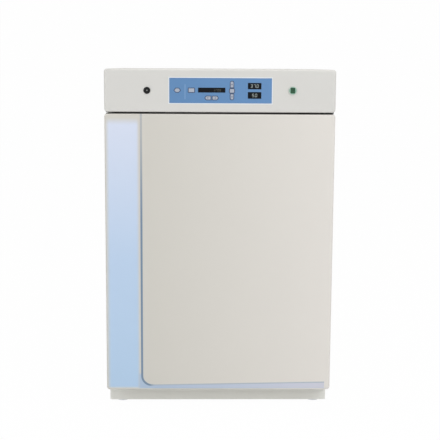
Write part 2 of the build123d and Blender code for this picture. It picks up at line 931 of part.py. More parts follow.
def door_bushes():
    upper = rod(hinge_x, hinge_y, door_z1 - bush_l, door_z1 + bush_proud, bush_r)
    lower = rod(hinge_x, hinge_y, door_z0 - bush_proud, door_z0 + bush_l, bush_r)
    bore = rod(hinge_x, hinge_y, door_z0 - 1, door_z0 + hinge_pin_l + 1, hinge_pin_r + running)
    bore_up = rod(hinge_x, hinge_y, door_z1 - hinge_pin_l - 1, door_z1 + 1, hinge_pin_r + running)
    return Compound([*(upper - bore_up).solids(), *(lower - bore).solids()])


def hinge_arm(y_back):
    """Top view of a hinge bracket: straight back from the pin, round at the front."""
    half = bracket_w / 2
    x0 = cab_in - bracket_w - bracket_inner_in
    tip = Pos(hinge_x, hinge_y) * Circle(half)
    arm = Pos((x0 + hinge_x + half) / 2, (hinge_y + y_back) / 2) * Rectangle(
        hinge_x + half - x0, y_back - hinge_y
    )
    side = Pos(cab_in - bracket_side_in + half, (face_y + y_back) / 2) * Rectangle(
        bracket_w, y_back - face_y + bracket_w
    )
    return tip + arm - side


def door_hinge_brackets():
    up0 = door_z1 + bush_gap
    upper = top_prism(hinge_arm(slab_front + bracket_hold), up0, up0 + bracket_t)
    upper += rod(hinge_x, hinge_y, door_z1 - hinge_pin_l, up0, hinge_pin_r)
    low1 = door_z0 - bush_gap
    lower = top_prism(hinge_arm(face_y), low1 - bracket_t, low1)
    leg_x = (cab_in - bracket_w - bracket_inner_in, cab_in - bracket_side_in)
    lower += span(leg_x, (face_y - bracket_leg_t, face_y), (low1 - bracket_leg_h, low1))
    lower += rod(hinge_x, hinge_y, low1, door_z0 + hinge_pin_l, hinge_pin_r)
    return Compound([*upper.solids(), *lower.solids()])


# Glass door


def glass_pane():
    pane = front_prism(
        plate_xz(glass_half, glass_half_h, glass_corner_r, door_mid), glass_front, glass_back
    )
    return pane - rod_y(latch_x, latch_z, glass_front, glass_back, latch_shaft_r + running)


def glass_gasket():
    inner = liner_t + liner_flange + seat
    width = glass_lap - inner + glass_gasket_out
    ring = ring_xz(chamber_half + inner, chamber_h / 2 + inner, cove_r, width)
    return front_prism(ring, ledge_y - glass_gasket_t, ledge_y)


def glass_hinge_places():
    return (door_mid - glass_half_h + glass_hinge_in, door_mid + glass_half_h - glass_hinge_in)


def glass_hinge_blocks():
    """Fixed ears on the frame's rebate, each pair joined by its pin."""
    blocks = []
    x = (glass_pin_x - glass_ear_in, rebate_half)
    ear_half = glass_pin_r + glass_ear_wall
    y = (glass_pin_y - ear_half, glass_pin_y + ear_half)
    half = glass_barrel_h / 2 + part_gap
    for z in glass_hinge_places():
        pin = rod(glass_pin_x, glass_pin_y, z - half, z + half, glass_pin_r)
        block = pin + span(x, y, (z - half - glass_ear_h, z - half))
        block += span(x, y, (z + half, z + half + glass_ear_h))
        blocks.extend(block.solids())
    return blocks


def glass_hinge_clamps():
    clamps = []
    leaf_y = (glass_front - latch_tongue_t, glass_front)
    for z in glass_hinge_places():
        limits = (z - glass_barrel_h / 2, z + glass_barrel_h / 2)
        leaf = span((glass_pin_x - glass_leaf, glass_pin_x), leaf_y, limits)
        clamp = leaf + rod(glass_pin_x, glass_pin_y, *limits, glass_barrel_r)
        clamp -= rod(glass_pin_x, glass_pin_y, *limits, glass_pin_r + running)
        clamps.extend(clamp.solids())
    return Compound(clamps)


def glass_latch():
    """A quarter-turn knob: its shaft goes through the pane and its tongue lies in front."""
    at = Pos(latch_x, latch_z)
    tongue_y1 = glass_front - part_gap
    tongue_y0 = tongue_y1 - latch_tongue_t
    knob_y0 = tongue_y0 - latch_knob_t
    tongue_r = latch_knob_r / 2
    tongue = at * Pos(0, (latch_reach - tongue_r) / 2) * SlotOverall(
        latch_reach + tongue_r, 2 * tongue_r, rotation=90
    )
    knob = rod_y(latch_x, latch_z, knob_y0, tongue_y0, latch_knob_r)
    knob = chamfer(knob.faces().sort_by(Axis.Y)[0].edges(), latch_knob_edge)
    knob -= front_prism(at * Rectangle(latch_grip_w, 3 * latch_knob_r), knob_y0 - 1, knob_y0 + latch_grip_d)
    wing_h = 2 * (latch_knob_r - latch_knob_edge)
    knob += front_prism(at * Rectangle(latch_wing_w, wing_h), knob_y0, tongue_y0)
    latch = knob + front_prism(tongue, tongue_y0, tongue_y1)
    nut_y0 = glass_back + part_gap
    latch += rod_y(latch_x, latch_z, tongue_y1, nut_y0, latch_shaft_r)
    return latch + front_prism(at * RegularPolygon(latch_nut_r, 6), nut_y0, nut_y0 + latch_nut_t)


def latch_keeper():
    """A hook on the rebate's left wall, in front of the turned tongue."""
    hook_y1 = glass_front - 2 * part_gap - latch_tongue_t
    hook_y0 = hook_y1 - keeper_lead
    x0 = -rebate_half
    z = (latch_z - keeper_h / 2, latch_z + keeper_h / 2)
    hook = span((x0, x0 + keeper_w), (hook_y0, hook_y1), z)
    return hook + span((x0, x0 + keeper_t), (hook_y0, ledge_y), z)


def glass_door_mounts():
    """What the glass door hangs from and latches to, fixed on the frame."""
    return Compound([*glass_hinge_blocks(), *latch_keeper().solids()])


# Header with its controls


def arched(w, h):
    """A key outline with a flat foot and a half-round top."""
    return Pos(0, -w / 4) * Rectangle(w, h - w / 2) + Pos(0, (h - w) / 2) * Circle(w / 2)


def pointed(w, h, left, right):
    """A key outline with a point at its left, and one at its right unless that is 0 long."""
    x, z = w / 2, h / 2
    upper = [(-x, 0), (left - x, z), (x - right, z)]
    tip = [(x, 0)] if right else []
    lower = [(x - right, -z), (left - x, -z)]
    return make_face(Polyline(*upper, *tip, *lower, close=True))


def key_outlines():
    """Each key's place and front-view outline, on the control panel."""
    panel = Pos(panel_x, panel_z)
    hexagon = pointed(silence_w, silence_h, silence_point, silence_point)
    arrow = pointed(arrow_w, arrow_h, arrow_point, 0)
    return {
        "silence_key": panel * Pos(*silence_at) * hexagon,
        "mode_key": panel * Pos(*mode_at) * RectangleRounded(mode_w, mode_h, mode_r),
        "left_key": panel * Pos(*left_at) * arrow,
        "right_key": panel * Pos(*right_at) * Rot(0, 0, 180) * arrow,
        "up_key": panel * Pos(*up_at) * arched(round_key_w, up_key_h),
        "enter_key": panel * Pos(*enter_at) * RectangleRounded(enter_w, enter_h, enter_r),
        "down_key": panel * Pos(*down_at) * Rot(0, 0, 180) * arched(round_key_w, down_key_h),
    }


def window_outlines(grow):
    """The three displays' front-view outlines, each grown on every side."""
    windows = (
        (message_at, message_w, message_h),
        (temperature_at, number_w, temperature_h),
        (gas_at, number_w, gas_h),
    )
    panel = Pos(panel_x, panel_z)
    return [panel * Pos(*at) * Rectangle(w + 2 * grow, h + 2 * grow) for at, w, h in windows]


def overlay_outline(grow):
    return Pos(panel_x, panel_z) * RectangleRounded(overlay_w + 2 * grow, overlay_h + 2 * grow, overlay_r)


def panel_cutouts():
    """The openings that keys and displays look out of."""
    holes = [offset(outline, key_gap) for outline in key_outlines().values()]
    holes.extend(window_outlines(seat))
    return Sketch() + holes


def fascia_volume(inset):
    outline = plate_xz(half_w - inset, header_h / 2 - inset, front_corner_r - inset, header_mid)
    return front_prism(outline, door_front + inset, fascia_y1)


def header_fascia():
    shell = soft_front(fascia_volume(0), front_edge_r)
    shell -= soft_front(fascia_volume(fascia_t), front_edge_r - fascia_t)
    pocket = overlay_sink + overlay_t
    shell -= front_prism(overlay_outline(seat), door_front - 1, door_front + pocket)
    shell -= front_prism(panel_cutouts(), door_front, door_front + 2 * fascia_t)
    shell -= rod_y(port_x, port_z, door_front - 1, door_front + 2 * fascia_t, port_body_r + seat)
    shell -= rod_y(switch_x, switch_z, door_front - 1, door_front + 2 * fascia_t, bezel_body_r + seat)
    return shell


def keypad_overlay():
    y0 = door_front + overlay_sink
    sheet_part = front_prism(overlay_outline(0), y0, y0 + overlay_t)
    return sheet_part - front_prism(panel_cutouts(), y0 - 1, y0 + overlay_t + 1)


def key(outline):
    return front_prism(outline, door_front, door_front + key_t)


def display_board():
    outline = Rectangle(overlay_w - 2 * board_margin, overlay_h - 2 * board_margin)
    board = front_prism(Pos(panel_x, panel_z) * outline, board_front, board_front + board_t)
    for window in window_outlines(0):
        board += front_prism(window, door_front + window_sink, board_front)
    return board


def rocker_pins(l, r):
    """The pins that the rocker tilts on, one at each side."""
    half = rocker_w / 2
    pin = Pos(half + l / 2, 0, 0) * Rot(0, 90, 0) * Cylinder(r, l)
    return Pos(switch_x, rocker_y, switch_z) * both_sides(pin)


def switch_bezel():
    bezel = rod_y(switch_x, switch_z, port_front, door_front, bezel_r)
    bezel = fillet(bezel.faces().sort_by(Axis.Y)[0].edges(), bezel_edge)
    bezel += rod_y(switch_x, switch_z, door_front, door_front + bezel_body_l, bezel_body_r)
    hole = Rectangle(rocker_w + 2 * part_gap, rocker_h + 2 * rocker_gap)
    bezel -= front_prism(Pos(switch_x, switch_z) * hole, port_front - 1, door_front + bezel_well)
    return bezel - rocker_pins(rocker_pin_l + seat, rocker_pin_r + running)


def power_rocker():
    half = rocker_h / 2
    points = [
        (-rocker_end_t, half),
        (-rocker_waist_t, 0),
        (-rocker_end_t, -half),
        (0, -half),
        (rocker_back_t, -half / 2),
        (rocker_back_t, half / 2),
        (0, half),
    ]
    profile = make_face(Polyline(*points, close=True))
    body = side_prism(profile, -rocker_w / 2, rocker_w / 2)
    return Pos(switch_x, rocker_y, switch_z) * Rot(rocker_tilt, 0, 0) * body + rocker_pins(
        rocker_pin_l, rocker_pin_r
    )


def sample_port():
    floor_y = door_front + port_depth
    barb_y = floor_y + port_floor_t
    port = rod_y(port_x, port_z, port_front, door_front, port_collar_r)
    port = fillet(port.faces().sort_by(Axis.Y)[0].edges(), port_collar_edge)
    port += rod_y(port_x, port_z, door_front, barb_y, port_body_r)
    port -= rod_y(port_x, port_z, port_front - 1, floor_y, port_bore_r)
    port += rod_y(port_x, port_z, barb_y, barb_y + port_barb_l, port_barb_r)
    return port - rod_y(port_x, port_z, floor_y - 1, barb_y + port_barb_l + 1, port_barb_bore_r)


def sample_port_cap():
    y = (port_front + cap_sink, door_front + port_depth - part_gap)
    cap = rod_y(port_x, port_z, *y, port_bore_r - running)
    return fillet(cap.faces().sort_by(Axis.Y)[0].edges(), cap_edge)


# Electronics drawer


def electronics_tray():
    """A folded tray that hangs from the fascia and carries the inner rails."""
    y0 = door_front + fascia_t + tray_front_in
    tray = span((-tray_half_w, tray_half_w), (y0, tray_back), (tray_z, tray_z + tray_wall))
    x = (sheet - tray_half_w, tray_half_w - sheet)
    tray -= span(x, (y0 - 1, tray_back - sheet), (tray_z + sheet, tray_z + tray_wall + 1))
    foot = span(x, (y0, y0 + tray_foot_d), (header_z0 + fascia_t, tray_z))
    foot -= span(x, (y0 + sheet, y0 + tray_foot_d + 1), (header_z0, tray_z))
    bar_x = (tray_half_w, cab_in - seat - 2 * sheet)
    bar_z = (tray_z + sheet + rail_slack, tray_z + rail_h - sheet - rail_slack)
    return tray + foot + both_sides(span(bar_x, (rail_front, tray_back), bar_z))


def drawer_rails():
    """Outer rails on the cabinet's sides, open towards the tray."""
    x = (cab_in - rail_w, cab_in)
    y = (rail_front, tray_back + rail_past)
    rail = span(x, y, (tray_z, tray_z + rail_h))
    rail -= span(
        (x[0] - 1, x[1] - sheet), (y[0] - 1, y[1] - sheet), (tray_z + sheet, tray_z + rail_h - sheet)
    )
    return both_sides(rail)


def main_board():
    """The circuit board on four stands, with capacitors, relays and a finned heat sink."""
    z0 = tray_z + sheet
    z1 = z0 + card_stand
    top = z1 + board_t
    x = (card_x0, card_x1)
    y = (face_y + card_front_in, tray_back - card_back_in)
    board = span(x, y, (z1, top))
    inset = 2 * card_stand_r
    for px in (x[0] + inset, x[1] - inset):
        for py in (y[0] + inset, y[1] - inset):
            board += rod(px, py, z0, z1, card_stand_r)
    capacitor_y = y[0] + inset + 2 * capacitor_r
    for i in range(5):
        at_x = x[0] + 2 * inset + capacitor_r + capacitor_pitch * i
        board += rod(at_x, capacitor_y, top, top + capacitor_h, capacitor_r)
    relay_y = capacitor_y + 3 * capacitor_r
    relay_x = x[0] + 2 * inset
    while relay_x + relay_w < x[1] - inset:
        relay = ((relay_x, relay_x + relay_w), (relay_y, relay_y + relay_d))
        board += span(*relay, (top, top + relay_h))
        relay_x += relay_w + relay_gap
    sink_x = (x[0] + 2 * inset, x[1] - 2 * inset)
    sink_y1 = y[1] - 2 * inset
    sink_y0 = sink_y1 - fin_pitch * (fin_count - 1) - fin_t
    board += span(sink_x, (sink_y0, sink_y1), (top, top + fin_t))
    for i in range(fin_count):
        fin_y = sink_y0 + fin_pitch * i
        board += span(sink_x, (fin_y, fin_y + fin_t), (top + fin_t, top + fin_h))
    return board


def power_supply():
    """A folded steel case with upright slots in both sides."""
    z0 = tray_z + sheet
    x = (supply_x0, supply_x1)
    y = (face_y + supply_front_in, tray_back - supply_back_in)
    case = span(x, y, (z0, z0 + supply_h))
    case = fillet(case.edges().filter_by(Axis.Y).sort_by(Axis.Z)[-2:], sheet)
    inner = [(low + sheet, high - sheet) for low, high in (x, y, (z0, z0 + supply_h))]
    case -= span(*inner)
    pitch = (y[1] - y[0]) / (supply_slots + 1)
    for i in range(supply_slots):
        slot = Pos(y[0] + pitch * (i + 1), z0 + supply_h / 2) * Rectangle(supply_slot_w, supply_slot_h)
        case -= side_prism(slot, x[0] - 1, x[1] + 1)
    return case


# Rear fittings


def access_port():
    """The tube through the rear wall, with a flange outside."""
    y = (chamber_back - access_inside, rear_y + access_past)
    port = rod_y(access_x, access_z, *y, access_bore_r + access_wall)
    port += rod_y(access_x, access_z, rear_y, rear_y + access_flange_t, access_flange_r)
    return port - rod_y(access_x, access_z, y[0] - 1, y[1] + 1, access_bore_r)


def access_stopper():
    head_y = rear_y + access_past + part_gap
    plug = rod_y(access_x, access_z, head_y - stopper_l, head_y, access_bore_r - running)
    plug = chamfer(plug.faces().sort_by(Axis.Y)[0].edges(), stopper_edge)
    head = rod_y(access_x, access_z, head_y, rear_end, access_bore_r + access_wall)
    head = chamfer(head.faces().sort_by(Axis.Y)[-1].edges(), stopper_edge)
    return plug + head


def power_inlet():
    """A three-pin appliance inlet, with its pins in a deep mouth."""
    at = Pos(inlet_x, inlet_z)
    back = rear_y - inlet_mouth_d
    body = Rectangle(inlet_w - 2 * inlet_ear - 2 * seat, inlet_h)
    inlet = front_prism(at * body, rear_y - inlet_depth, rear_y)
    face = RectangleRounded(inlet_w, inlet_h, inlet_ear)
    inlet += front_prism(at * face, rear_y, rear_y + inlet_face_t)
    mouth = Rectangle(inlet_mouth_w, inlet_mouth_h)
    inlet -= front_prism(at * mouth, back, rear_y + inlet_face_t + 1)
    for i in (-1, 0, 1):
        lift = inlet_pin_w if i == 0 else -inlet_pin_w
        pin = Pos(i * inlet_pin_pitch, lift) * Rectangle(inlet_pin_w, inlet_pin_h)
        inlet += front_prism(at * pin, back, rear_y)
    return inlet


def gas_inlet():
    """The spigot that the gas hose pushes on, with its nut and its body inside."""
    nut_y1 = rear_end - gas_spigot_l
    fitting = front_prism(Pos(gas_x, gas_inlet_z) * RegularPolygon(gas_nut_r, 6), rear_y, nut_y1)
    fitting += rod_y(gas_x, gas_inlet_z, rear_y - gas_body_l, rear_y, gas_body_r)
    spigot = rod_y(gas_x, gas_inlet_z, nut_y1, rear_end, gas_spigot_r)
    spigot = chamfer(spigot.faces().sort_by(Axis.Y)[-1].edges(), gas_spigot_r / 5)
    return fitting + spigot - rod_y(gas_x, gas_inlet_z, rear_y - gas_body_l - 1, rear_end + 1, gas_bore_r)


def all_parts():
    parts = {
        "base_frame": base_frame(),
        "left_side_panel": side_panel(-1),
        "right_side_panel": side_panel(1),
        "rear_panel": rear_panel(),
        "top_cover": top_cover(),
        "face_frame": face_frame(),
        "chamber_liner": chamber_liner(),
        "chamber_heaters": chamber_heaters(),
        "jacket_insulation": jacket_insulation(),
        "side_ducts": side_ducts(),
        "shelf_channels": shelf_channels(),
        "humidity_pan": humidity_pan(),
        "top_duct": top_duct(),
        "hepa_filter": hepa_filter(),
        "blower_scroll": blower_scroll(),
        "blower_wheel": blower_wheel(),
        "blower_shaft": blower_shaft(),
        "blower_motor": blower_motor(),
        "chamber_probes": chamber_probes(),
        "door_skin": door_skin(),
        "door_inner_panel": door_inner_panel(),
        "door_insulation": door_insulation(),
        "door_gasket": door_gasket(),
        "door_bushes": door_bushes(),
        "door_hinge_brackets": door_hinge_brackets(),
        "glass_pane": glass_pane(),
        "glass_gasket": glass_gasket(),
        "glass_door_mounts": glass_door_mounts(),
        "glass_hinge_clamps": glass_hinge_clamps(),
        "glass_latch": glass_latch(),
        "header_fascia": header_fascia(),
        "keypad_overlay": keypad_overlay(),
        "display_board": display_board(),
        "switch_bezel": switch_bezel(),
        "power_rocker": power_rocker(),
        "sample_port": sample_port(),
        "sample_port_cap": sample_port_cap(),
        "electronics_tray": electronics_tray(),
        "drawer_rails": drawer_rails(),
        "main_board": main_board(),
        "power_supply": power_supply(),
        "access_port": access_port(),
        "access_stopper": access_stopper(),
        "power_inlet": power_inlet(),
        "gas_inlet": gas_inlet(),
    }
    for i, top in enumerate(shelf_tops, 1):
        parts[f"shelf_{i}"] = shelf(top)
    for i, (x, y) in enumerate(foot_places(), 1):
        parts[f"levelling_foot_{i}"] = levelling_foot(x, y)
    for name, outline in key_outlines().items():
        parts[name] = key(outline)
    return parts


os.makedirs("parts", exist_ok=True)
for part_name, solid in all_parts().items():
    export_step(solid, f"parts/{part_name}.step")
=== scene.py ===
import bmesh
import bpy
import json
from math import cos, pi, radians, sin
from mathutils import Matrix, Vector


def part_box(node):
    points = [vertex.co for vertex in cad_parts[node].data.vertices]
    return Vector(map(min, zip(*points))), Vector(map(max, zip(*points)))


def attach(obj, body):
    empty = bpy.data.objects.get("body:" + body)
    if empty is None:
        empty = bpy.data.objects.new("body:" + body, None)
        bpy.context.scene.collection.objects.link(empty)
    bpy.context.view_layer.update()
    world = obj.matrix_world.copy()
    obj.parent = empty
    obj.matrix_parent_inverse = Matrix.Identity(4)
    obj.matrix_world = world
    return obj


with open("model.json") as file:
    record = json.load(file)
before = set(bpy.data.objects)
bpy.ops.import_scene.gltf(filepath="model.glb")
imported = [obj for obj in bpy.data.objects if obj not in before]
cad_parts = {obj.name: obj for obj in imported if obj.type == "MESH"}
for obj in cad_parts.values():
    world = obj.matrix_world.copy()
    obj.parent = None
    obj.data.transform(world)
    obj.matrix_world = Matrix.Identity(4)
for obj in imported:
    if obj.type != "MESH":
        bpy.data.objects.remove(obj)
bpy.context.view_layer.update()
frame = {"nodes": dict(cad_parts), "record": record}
nodes = frame["nodes"]

DOOR_LOW, DOOR_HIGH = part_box("door_skin")
HEADER_LOW, HEADER_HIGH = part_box("header_fascia")

# Camera, from the photograph, in metres and degrees; ahead is its distance from the door's face
CAMERA_X = -0.0622
CAMERA_AHEAD = 2.9745
CAMERA_Z = 1.01205
CAMERA_YAW = 1.2245
CAMERA_PITCH = 8.4335
CAMERA_ROLL = 0.3402
CAMERA_LENS = 85.05
SENSOR_W = 36.0

# Sizes of the scene's own pieces, in metres, and their counts
PRINT_T = 0.00012
KEY_RIM_W = 0.0018
ARROW_R = 0.0026
ARROW_TURNS = {"left_key": 180, "right_key": 0, "up_key": 90, "down_key": 270}

PANEL_BORDER_W = 0.0024
PANEL_BORDER_T = 0.0004
PANEL_BORDER_LAP = 0.0001
PANEL_BORDER_EASE = 0.00015

SCREW_R = 0.0042
SCREW_H = 0.0020
SCREW_SIDES = 18
REAR_SCREW_IN = 0.012
REAR_SCREW_ROWS = 5

# The black strips that paint the shade in the gap under the header: thickness, inset, edge rounding
# and widths
STRIP_T = 0.0006
STRIP_IN = 0.004
STRIP_EASE = 0.0001
HEADER_STRIP_W = 0.055
DOOR_STRIP_W = 0.022

# The grey button in the sample port's cap: the fitting's pale centre, whose grey also paints the
# port's highlight
PORT_BUTTON_HIGHLIGHT_R = 0.0022
PORT_BUTTON_HIGHLIGHT_T = 0.0006
PORT_BUTTON_HIGHLIGHT_SIDES = 32
# Radius of the painted green glow round the lit rocker on the switch's collar
SWITCH_GLOW_R = 0.0108

# Figures in the displays: their height and places, and their other sizes as shares of the height
READING_H = 0.0092
READING_X = 0.0977
TEMPERATURE_Z = 0.9556
GAS_Z = 0.9294
MESSAGE_H = 0.0058
MESSAGE_X = -0.0080
MESSAGE_Z = 0.9437
FIGURE_W = 0.62
FIGURE_BAR = 0.12
FIGURE_GAP = 0.30
FIGURE_LEAN = 0.08
SEGMENTS = {
    "a": (0, 1, 0), "b": (0.5, 0.5, 1), "c": (0.5, -0.5, 1), "d": (0, -1, 0),
    "e": (-0.5, -0.5, 1), "f": (-0.5, 0.5, 1), "g": (0, 0, 0),
}
DIGITS = {
    "0": "abcdef", "1": "bc", "2": "abged", "3": "abgcd", "4": "fgbc", "5": "afgcd",
    "6": "afgedc", "7": "abc", "8": "abcdefg", "9": "abcdfg",
}

# The door's print, in metres: a pale blue band at the left, the thin line down its right side
# that turns along the foot, and a pale blue run under that line. A pair says where an edge
# starts to fade and where the fade ends
BAND_LEFT = (-0.3300, -0.3150)
BAND_RIGHT = (-0.2400, -0.2300)
BAND_TOP = (0.842, 0.868)
BAND_FOOT = (0.066, 0.074)
LINE_X = -0.2258
LINE_Z = 0.0762
LINE_RISE = 0.0170
LINE_R = 0.029
LINE_HALF_W = 0.0030
LINE_SOFT = 0.0008
LINE_TURN_X = (-0.208, -0.186)
LINE_END_X = (0.3127, 0.3137)
FOOT_LINE_HALF_W = 0.0015
FOOT_RUN_Z = (0.0655, 0.0685)
FOOT_RUN_FADE = 0.012
FOOT_EDGE_Z = 0.0675
PRINT_DEPTH = (0.006, 0.009)
# The painted shadow along the door's top edge under the header: its height, and how far back from
# the front it reaches
TOP_SHADOW_H = 0.0020
TOP_SHADOW_DEPTH = (0.006, 0.008)
# Where the door's painted light starts and ends: the door is painted paler towards the right, where
# more light falls
DOOR_LIGHT_X = (-0.20, 0.33)

# The blue membrane's print: a pale rule at the left and a dotted rule by the number displays
# Where the membrane's painted light starts and ends: its blue is painted a little paler towards the
# right
MEMBRANE_LIGHT_X = (-0.145, 0.147)
RULE_X = -0.1002
RULE_Z = 0.939
RULE_HALF_W = (0.0006, 0.0011)
RULE_HALF_H = (0.020, 0.022)
DOTS_X = 0.0715
DOTS_Z = 0.9425
DOTS_HALF_W = (0.0005, 0.0010)
DOTS_HALF_H = (0.024, 0.025)
DOTS_PITCH = 0.004

# Studio: the floor is a square sheet whose back edge turns up into a wall
FLOOR_HALF = 9.0
WALL_H = 8.0
WALL_BEND_R = 2.5
STAGE_SEEN_WHITE = 0.985
WORLD_LIGHT = 0.42
LAMP_SIZE = 3.0


def srgb(r, g, b):
    """A colour written as 0 to 255, in the renderer's linear values."""
    parts = []
    for value in (r, g, b):
        c = value / 255
        parts.append(c / 12.92 if c <= 0.04045 else ((c + 0.055) / 1.055) ** 2.4)
    return (*parts, 1.0)


DUST_COLOUR = srgb(196, 192, 184)


# Shader building


class Net:
    """Builds one node tree: each call adds nodes and gives back an output socket."""

    def __init__(self, tree):
        self.tree = tree

    def node(self, kind, **settings):
        made = self.tree.nodes.new(kind)
        for name, value in settings.items():
            setattr(made, name, value)
        return made

    def plug(self, value, socket):
        if isinstance(value, bpy.types.NodeSocket):
            self.tree.links.new(value, socket)
        elif value is not None:
            socket.default_value = value

    def math(self, operation, a, b=None, c=None):
        made = self.node("ShaderNodeMath", operation=operation)
        for i, value in enumerate((a, b, c)):
            self.plug(value, made.inputs[i])
        return made.outputs[0]

    def times(self, *values):
        """The product of two or more values."""
        made = values[0]
        for value in values[1:]:
            made = self.math("MULTIPLY", made, value)
        return made

    def off(self, value, centre):
        """How far a value lies from a centre, on either side."""
        return self.math("ABSOLUTE", self.math("SUBTRACT", value, centre))

    def length(self, a, b):
        """The length of a line that runs a along one axis and b along the other."""
        return self.math("SQRT", self.math("ADD", self.times(a, a), self.times(b, b)))

    def ramp(self, value, low, high, out_low=0.0, out_high=1.0, smooth=True):
        kind = "SMOOTHSTEP" if smooth else "LINEAR"
        made = self.node("ShaderNodeMapRange", interpolation_type=kind, clamp=True)
        for i, v in enumerate((value, low, high, out_low, out_high)):
            self.plug(v, made.inputs[i])
        return made.outputs[0]

    def mix(self, amount, a, b, blend="MIX"):
        made = self.node("ShaderNodeMix", data_type="RGBA", blend_type=blend)
        self.plug(amount, made.inputs["Factor"])
        self.plug(a, made.inputs[6])
        self.plug(b, made.inputs[7])
        return made.outputs[2]

    def shade(self, colour, tone):
        """A colour made darker or paler by a tone near 1."""
        return self.mix(1.0, colour, tone, "MULTIPLY")

    def noise(self, vector, scale, detail=2.0, roughness=0.5):
        made = self.node("ShaderNodeTexNoise")
        self.plug(vector, made.inputs["Vector"])
        self.plug(scale, made.inputs["Scale"])
        self.plug(detail, made.inputs["Detail"])
        self.plug(roughness, made.inputs["Roughness"])
        return made.outputs["Fac"]

    def mapped(self, vector, **settings):
        """Coordinates that are turned or stretched."""
        made = self.node("ShaderNodeMapping")
        self.plug(vector, made.inputs["Vector"])
        for name, value in settings.items():
            made.inputs[name].default_value = value
        return made.outputs[0]

    def axes(self, vector):
        made = self.node("ShaderNodeSeparateXYZ")
        self.plug(vector, made.inputs[0])
        return made.outputs

    def group(self, tree, **inputs):
        made = self.node("ShaderNodeGroup", node_tree=tree)
        for name, value in inputs.items():
            self.plug(value, made.inputs[name.replace("_", " ")])
        return made.outputs

    def seen(self):
        """1 where the camera looks, also by mirror or through glass, and 0 for light."""
        rays = self.node("ShaderNodeLightPath").outputs
        by_shine = self.math("MAXIMUM", rays["Is Glossy Ray"], rays["Is Transmission Ray"])
        return self.math("MAXIMUM", rays["Is Camera Ray"], by_shine)


def new_group(name, inputs, outputs):
    """An empty shader node group with named sockets: its net, and its two ends."""
    tree = bpy.data.node_groups.new(name, "ShaderNodeTree")
    for label, kind, value in inputs:
        socket = tree.interface.new_socket(label, in_out="INPUT", socket_type=kind)
        if value is not None:
            socket.default_value = value
    for label in outputs:
        tree.interface.new_socket(label, in_out="OUTPUT", socket_type="NodeSocketFloat")
    net = Net(tree)
    return net, net.node("NodeGroupInput").outputs, net.node("NodeGroupOutput").inputs


def powder_grain():
    """The orange peel of powder coat and the slow change of its tone over a panel."""
    net, given, out = new_group(
        "powder grain",
        [("Vector", "NodeSocketVector", None), ("Scale", "NodeSocketFloat", 520.0),
         ("Tone Range", "NodeSocketFloat", 0.03)],
        ["Height", "Tone", "Gloss"],
    )
    peel = net.noise(given["Vector"], given["Scale"], 2.0, 0.45)
    speck = net.noise(given["Vector"], net.times(given["Scale"], 3.1), 1.0)
    net.plug(net.math("MULTIPLY_ADD", speck, 0.35, peel), out["Height"])
    cloud = net.noise(given["Vector"], 4.5, 3.0, 0.55)
    fine = net.noise(given["Vector"], 90.0, 2.0)
    drift = net.math("MULTIPLY_ADD", fine, 0.35, net.math("SUBTRACT", cloud, 0.675))
    net.plug(net.math("MULTIPLY_ADD", drift, given["Tone Range"], 1.0), out["Tone"])
    handled = net.noise(given["Vector"], 11.0, 4.0, 0.6)
    net.plug(net.ramp(handled, 0.35, 0.65, -0.5, 0.5), out["Gloss"])
    return net.tree


def brushed_grain():
    """Long fine scratches along the coordinate's X, for brushed and satin steel."""
    net, given, out = new_group(
        "brushed grain",
        [("Vector", "NodeSocketVector", None), ("Fineness", "NodeSocketFloat", 900.0)],
        ["Height", "Tone", "Gloss"],
    )
    along = net.mapped(given["Vector"], Scale=(0.012, 1.0, 1.0))
    lines = net.noise(along, given["Fineness"], 3.0, 0.6)
    coarse = net.noise(along, net.times(given["Fineness"], 0.22), 2.0)
    net.plug(lines, out["Height"])
    net.plug(net.ramp(coarse, 0.3, 0.7, 0.94, 1.05, smooth=False), out["Tone"])
    smear = net.math("SUBTRACT", net.noise(given["Vector"], 7.0, 4.0, 0.6), 0.5)
    net.plug(net.math("ADD", net.math("SUBTRACT", lines, 0.5), smear), out["Gloss"])
    return net.tree


def settled_dust():
    """Fine dust, thick on faces that look up and broken by a slow noise."""
    net, given, out = new_group(
        "settled dust",
        [("Vector", "NodeSocketVector", None), ("Amount", "NodeSocketFloat", 0.3)],
        ["Mask"],
    )
    normal = net.node("ShaderNodeNewGeometry").outputs["Normal"]
    up = net.ramp(net.axes(normal)[2], 0.35, 0.95)
    patches = net.ramp(net.noise(given["Vector"], 14.0, 5.0, 0.65), 0.35, 0.75, 0.25, 1.0)
    net.plug(net.times(up, patches, given["Amount"]), out["Mask"])
    return net.tree


def rim_highlight_and_wear():
    """How near a point lies to the rim of an upright rectangle, for a painted highlight along it,
    and chips of wear there broken up by noise.
    """
    net, given, out = new_group(
        "rim highlight and wear",
        [("Vector", "NodeSocketVector", None), ("Centre X", "NodeSocketFloat", 0.0),
         ("Centre Z", "NodeSocketFloat", 0.5), ("Half X", "NodeSocketFloat", 0.3),
         ("Half Z", "NodeSocketFloat", 0.4), ("Width", "NodeSocketFloat", 0.01)],
        ["Mask", "Scuff"],
    )
    x, _, z = net.axes(given["Vector"])
    to_side = net.math("SUBTRACT", given["Half X"], net.off(x, given["Centre X"]))
    to_end = net.math("SUBTRACT", given["Half Z"], net.off(z, given["Centre Z"]))
    near = net.math("DIVIDE", net.math("MINIMUM", to_side, to_end), given["Width"])
    mask = net.math("SUBTRACT", 1.0, net.math("MINIMUM", net.math("MAXIMUM", near, 0.0), 1.0))
    net.plug(mask, out["Mask"])
    chips = net.ramp(net.noise(given["Vector"], 160.0, 4.0, 0.7), 0.6, 0.68)
    net.plug(net.times(net.math("POWER", mask, 3.0), chips), out["Scuff"])
    return net.tree


POWDER = powder_grain()
BRUSHED = brushed_grain()
DUST = settled_dust()
RIM = rim_highlight_and_wear()


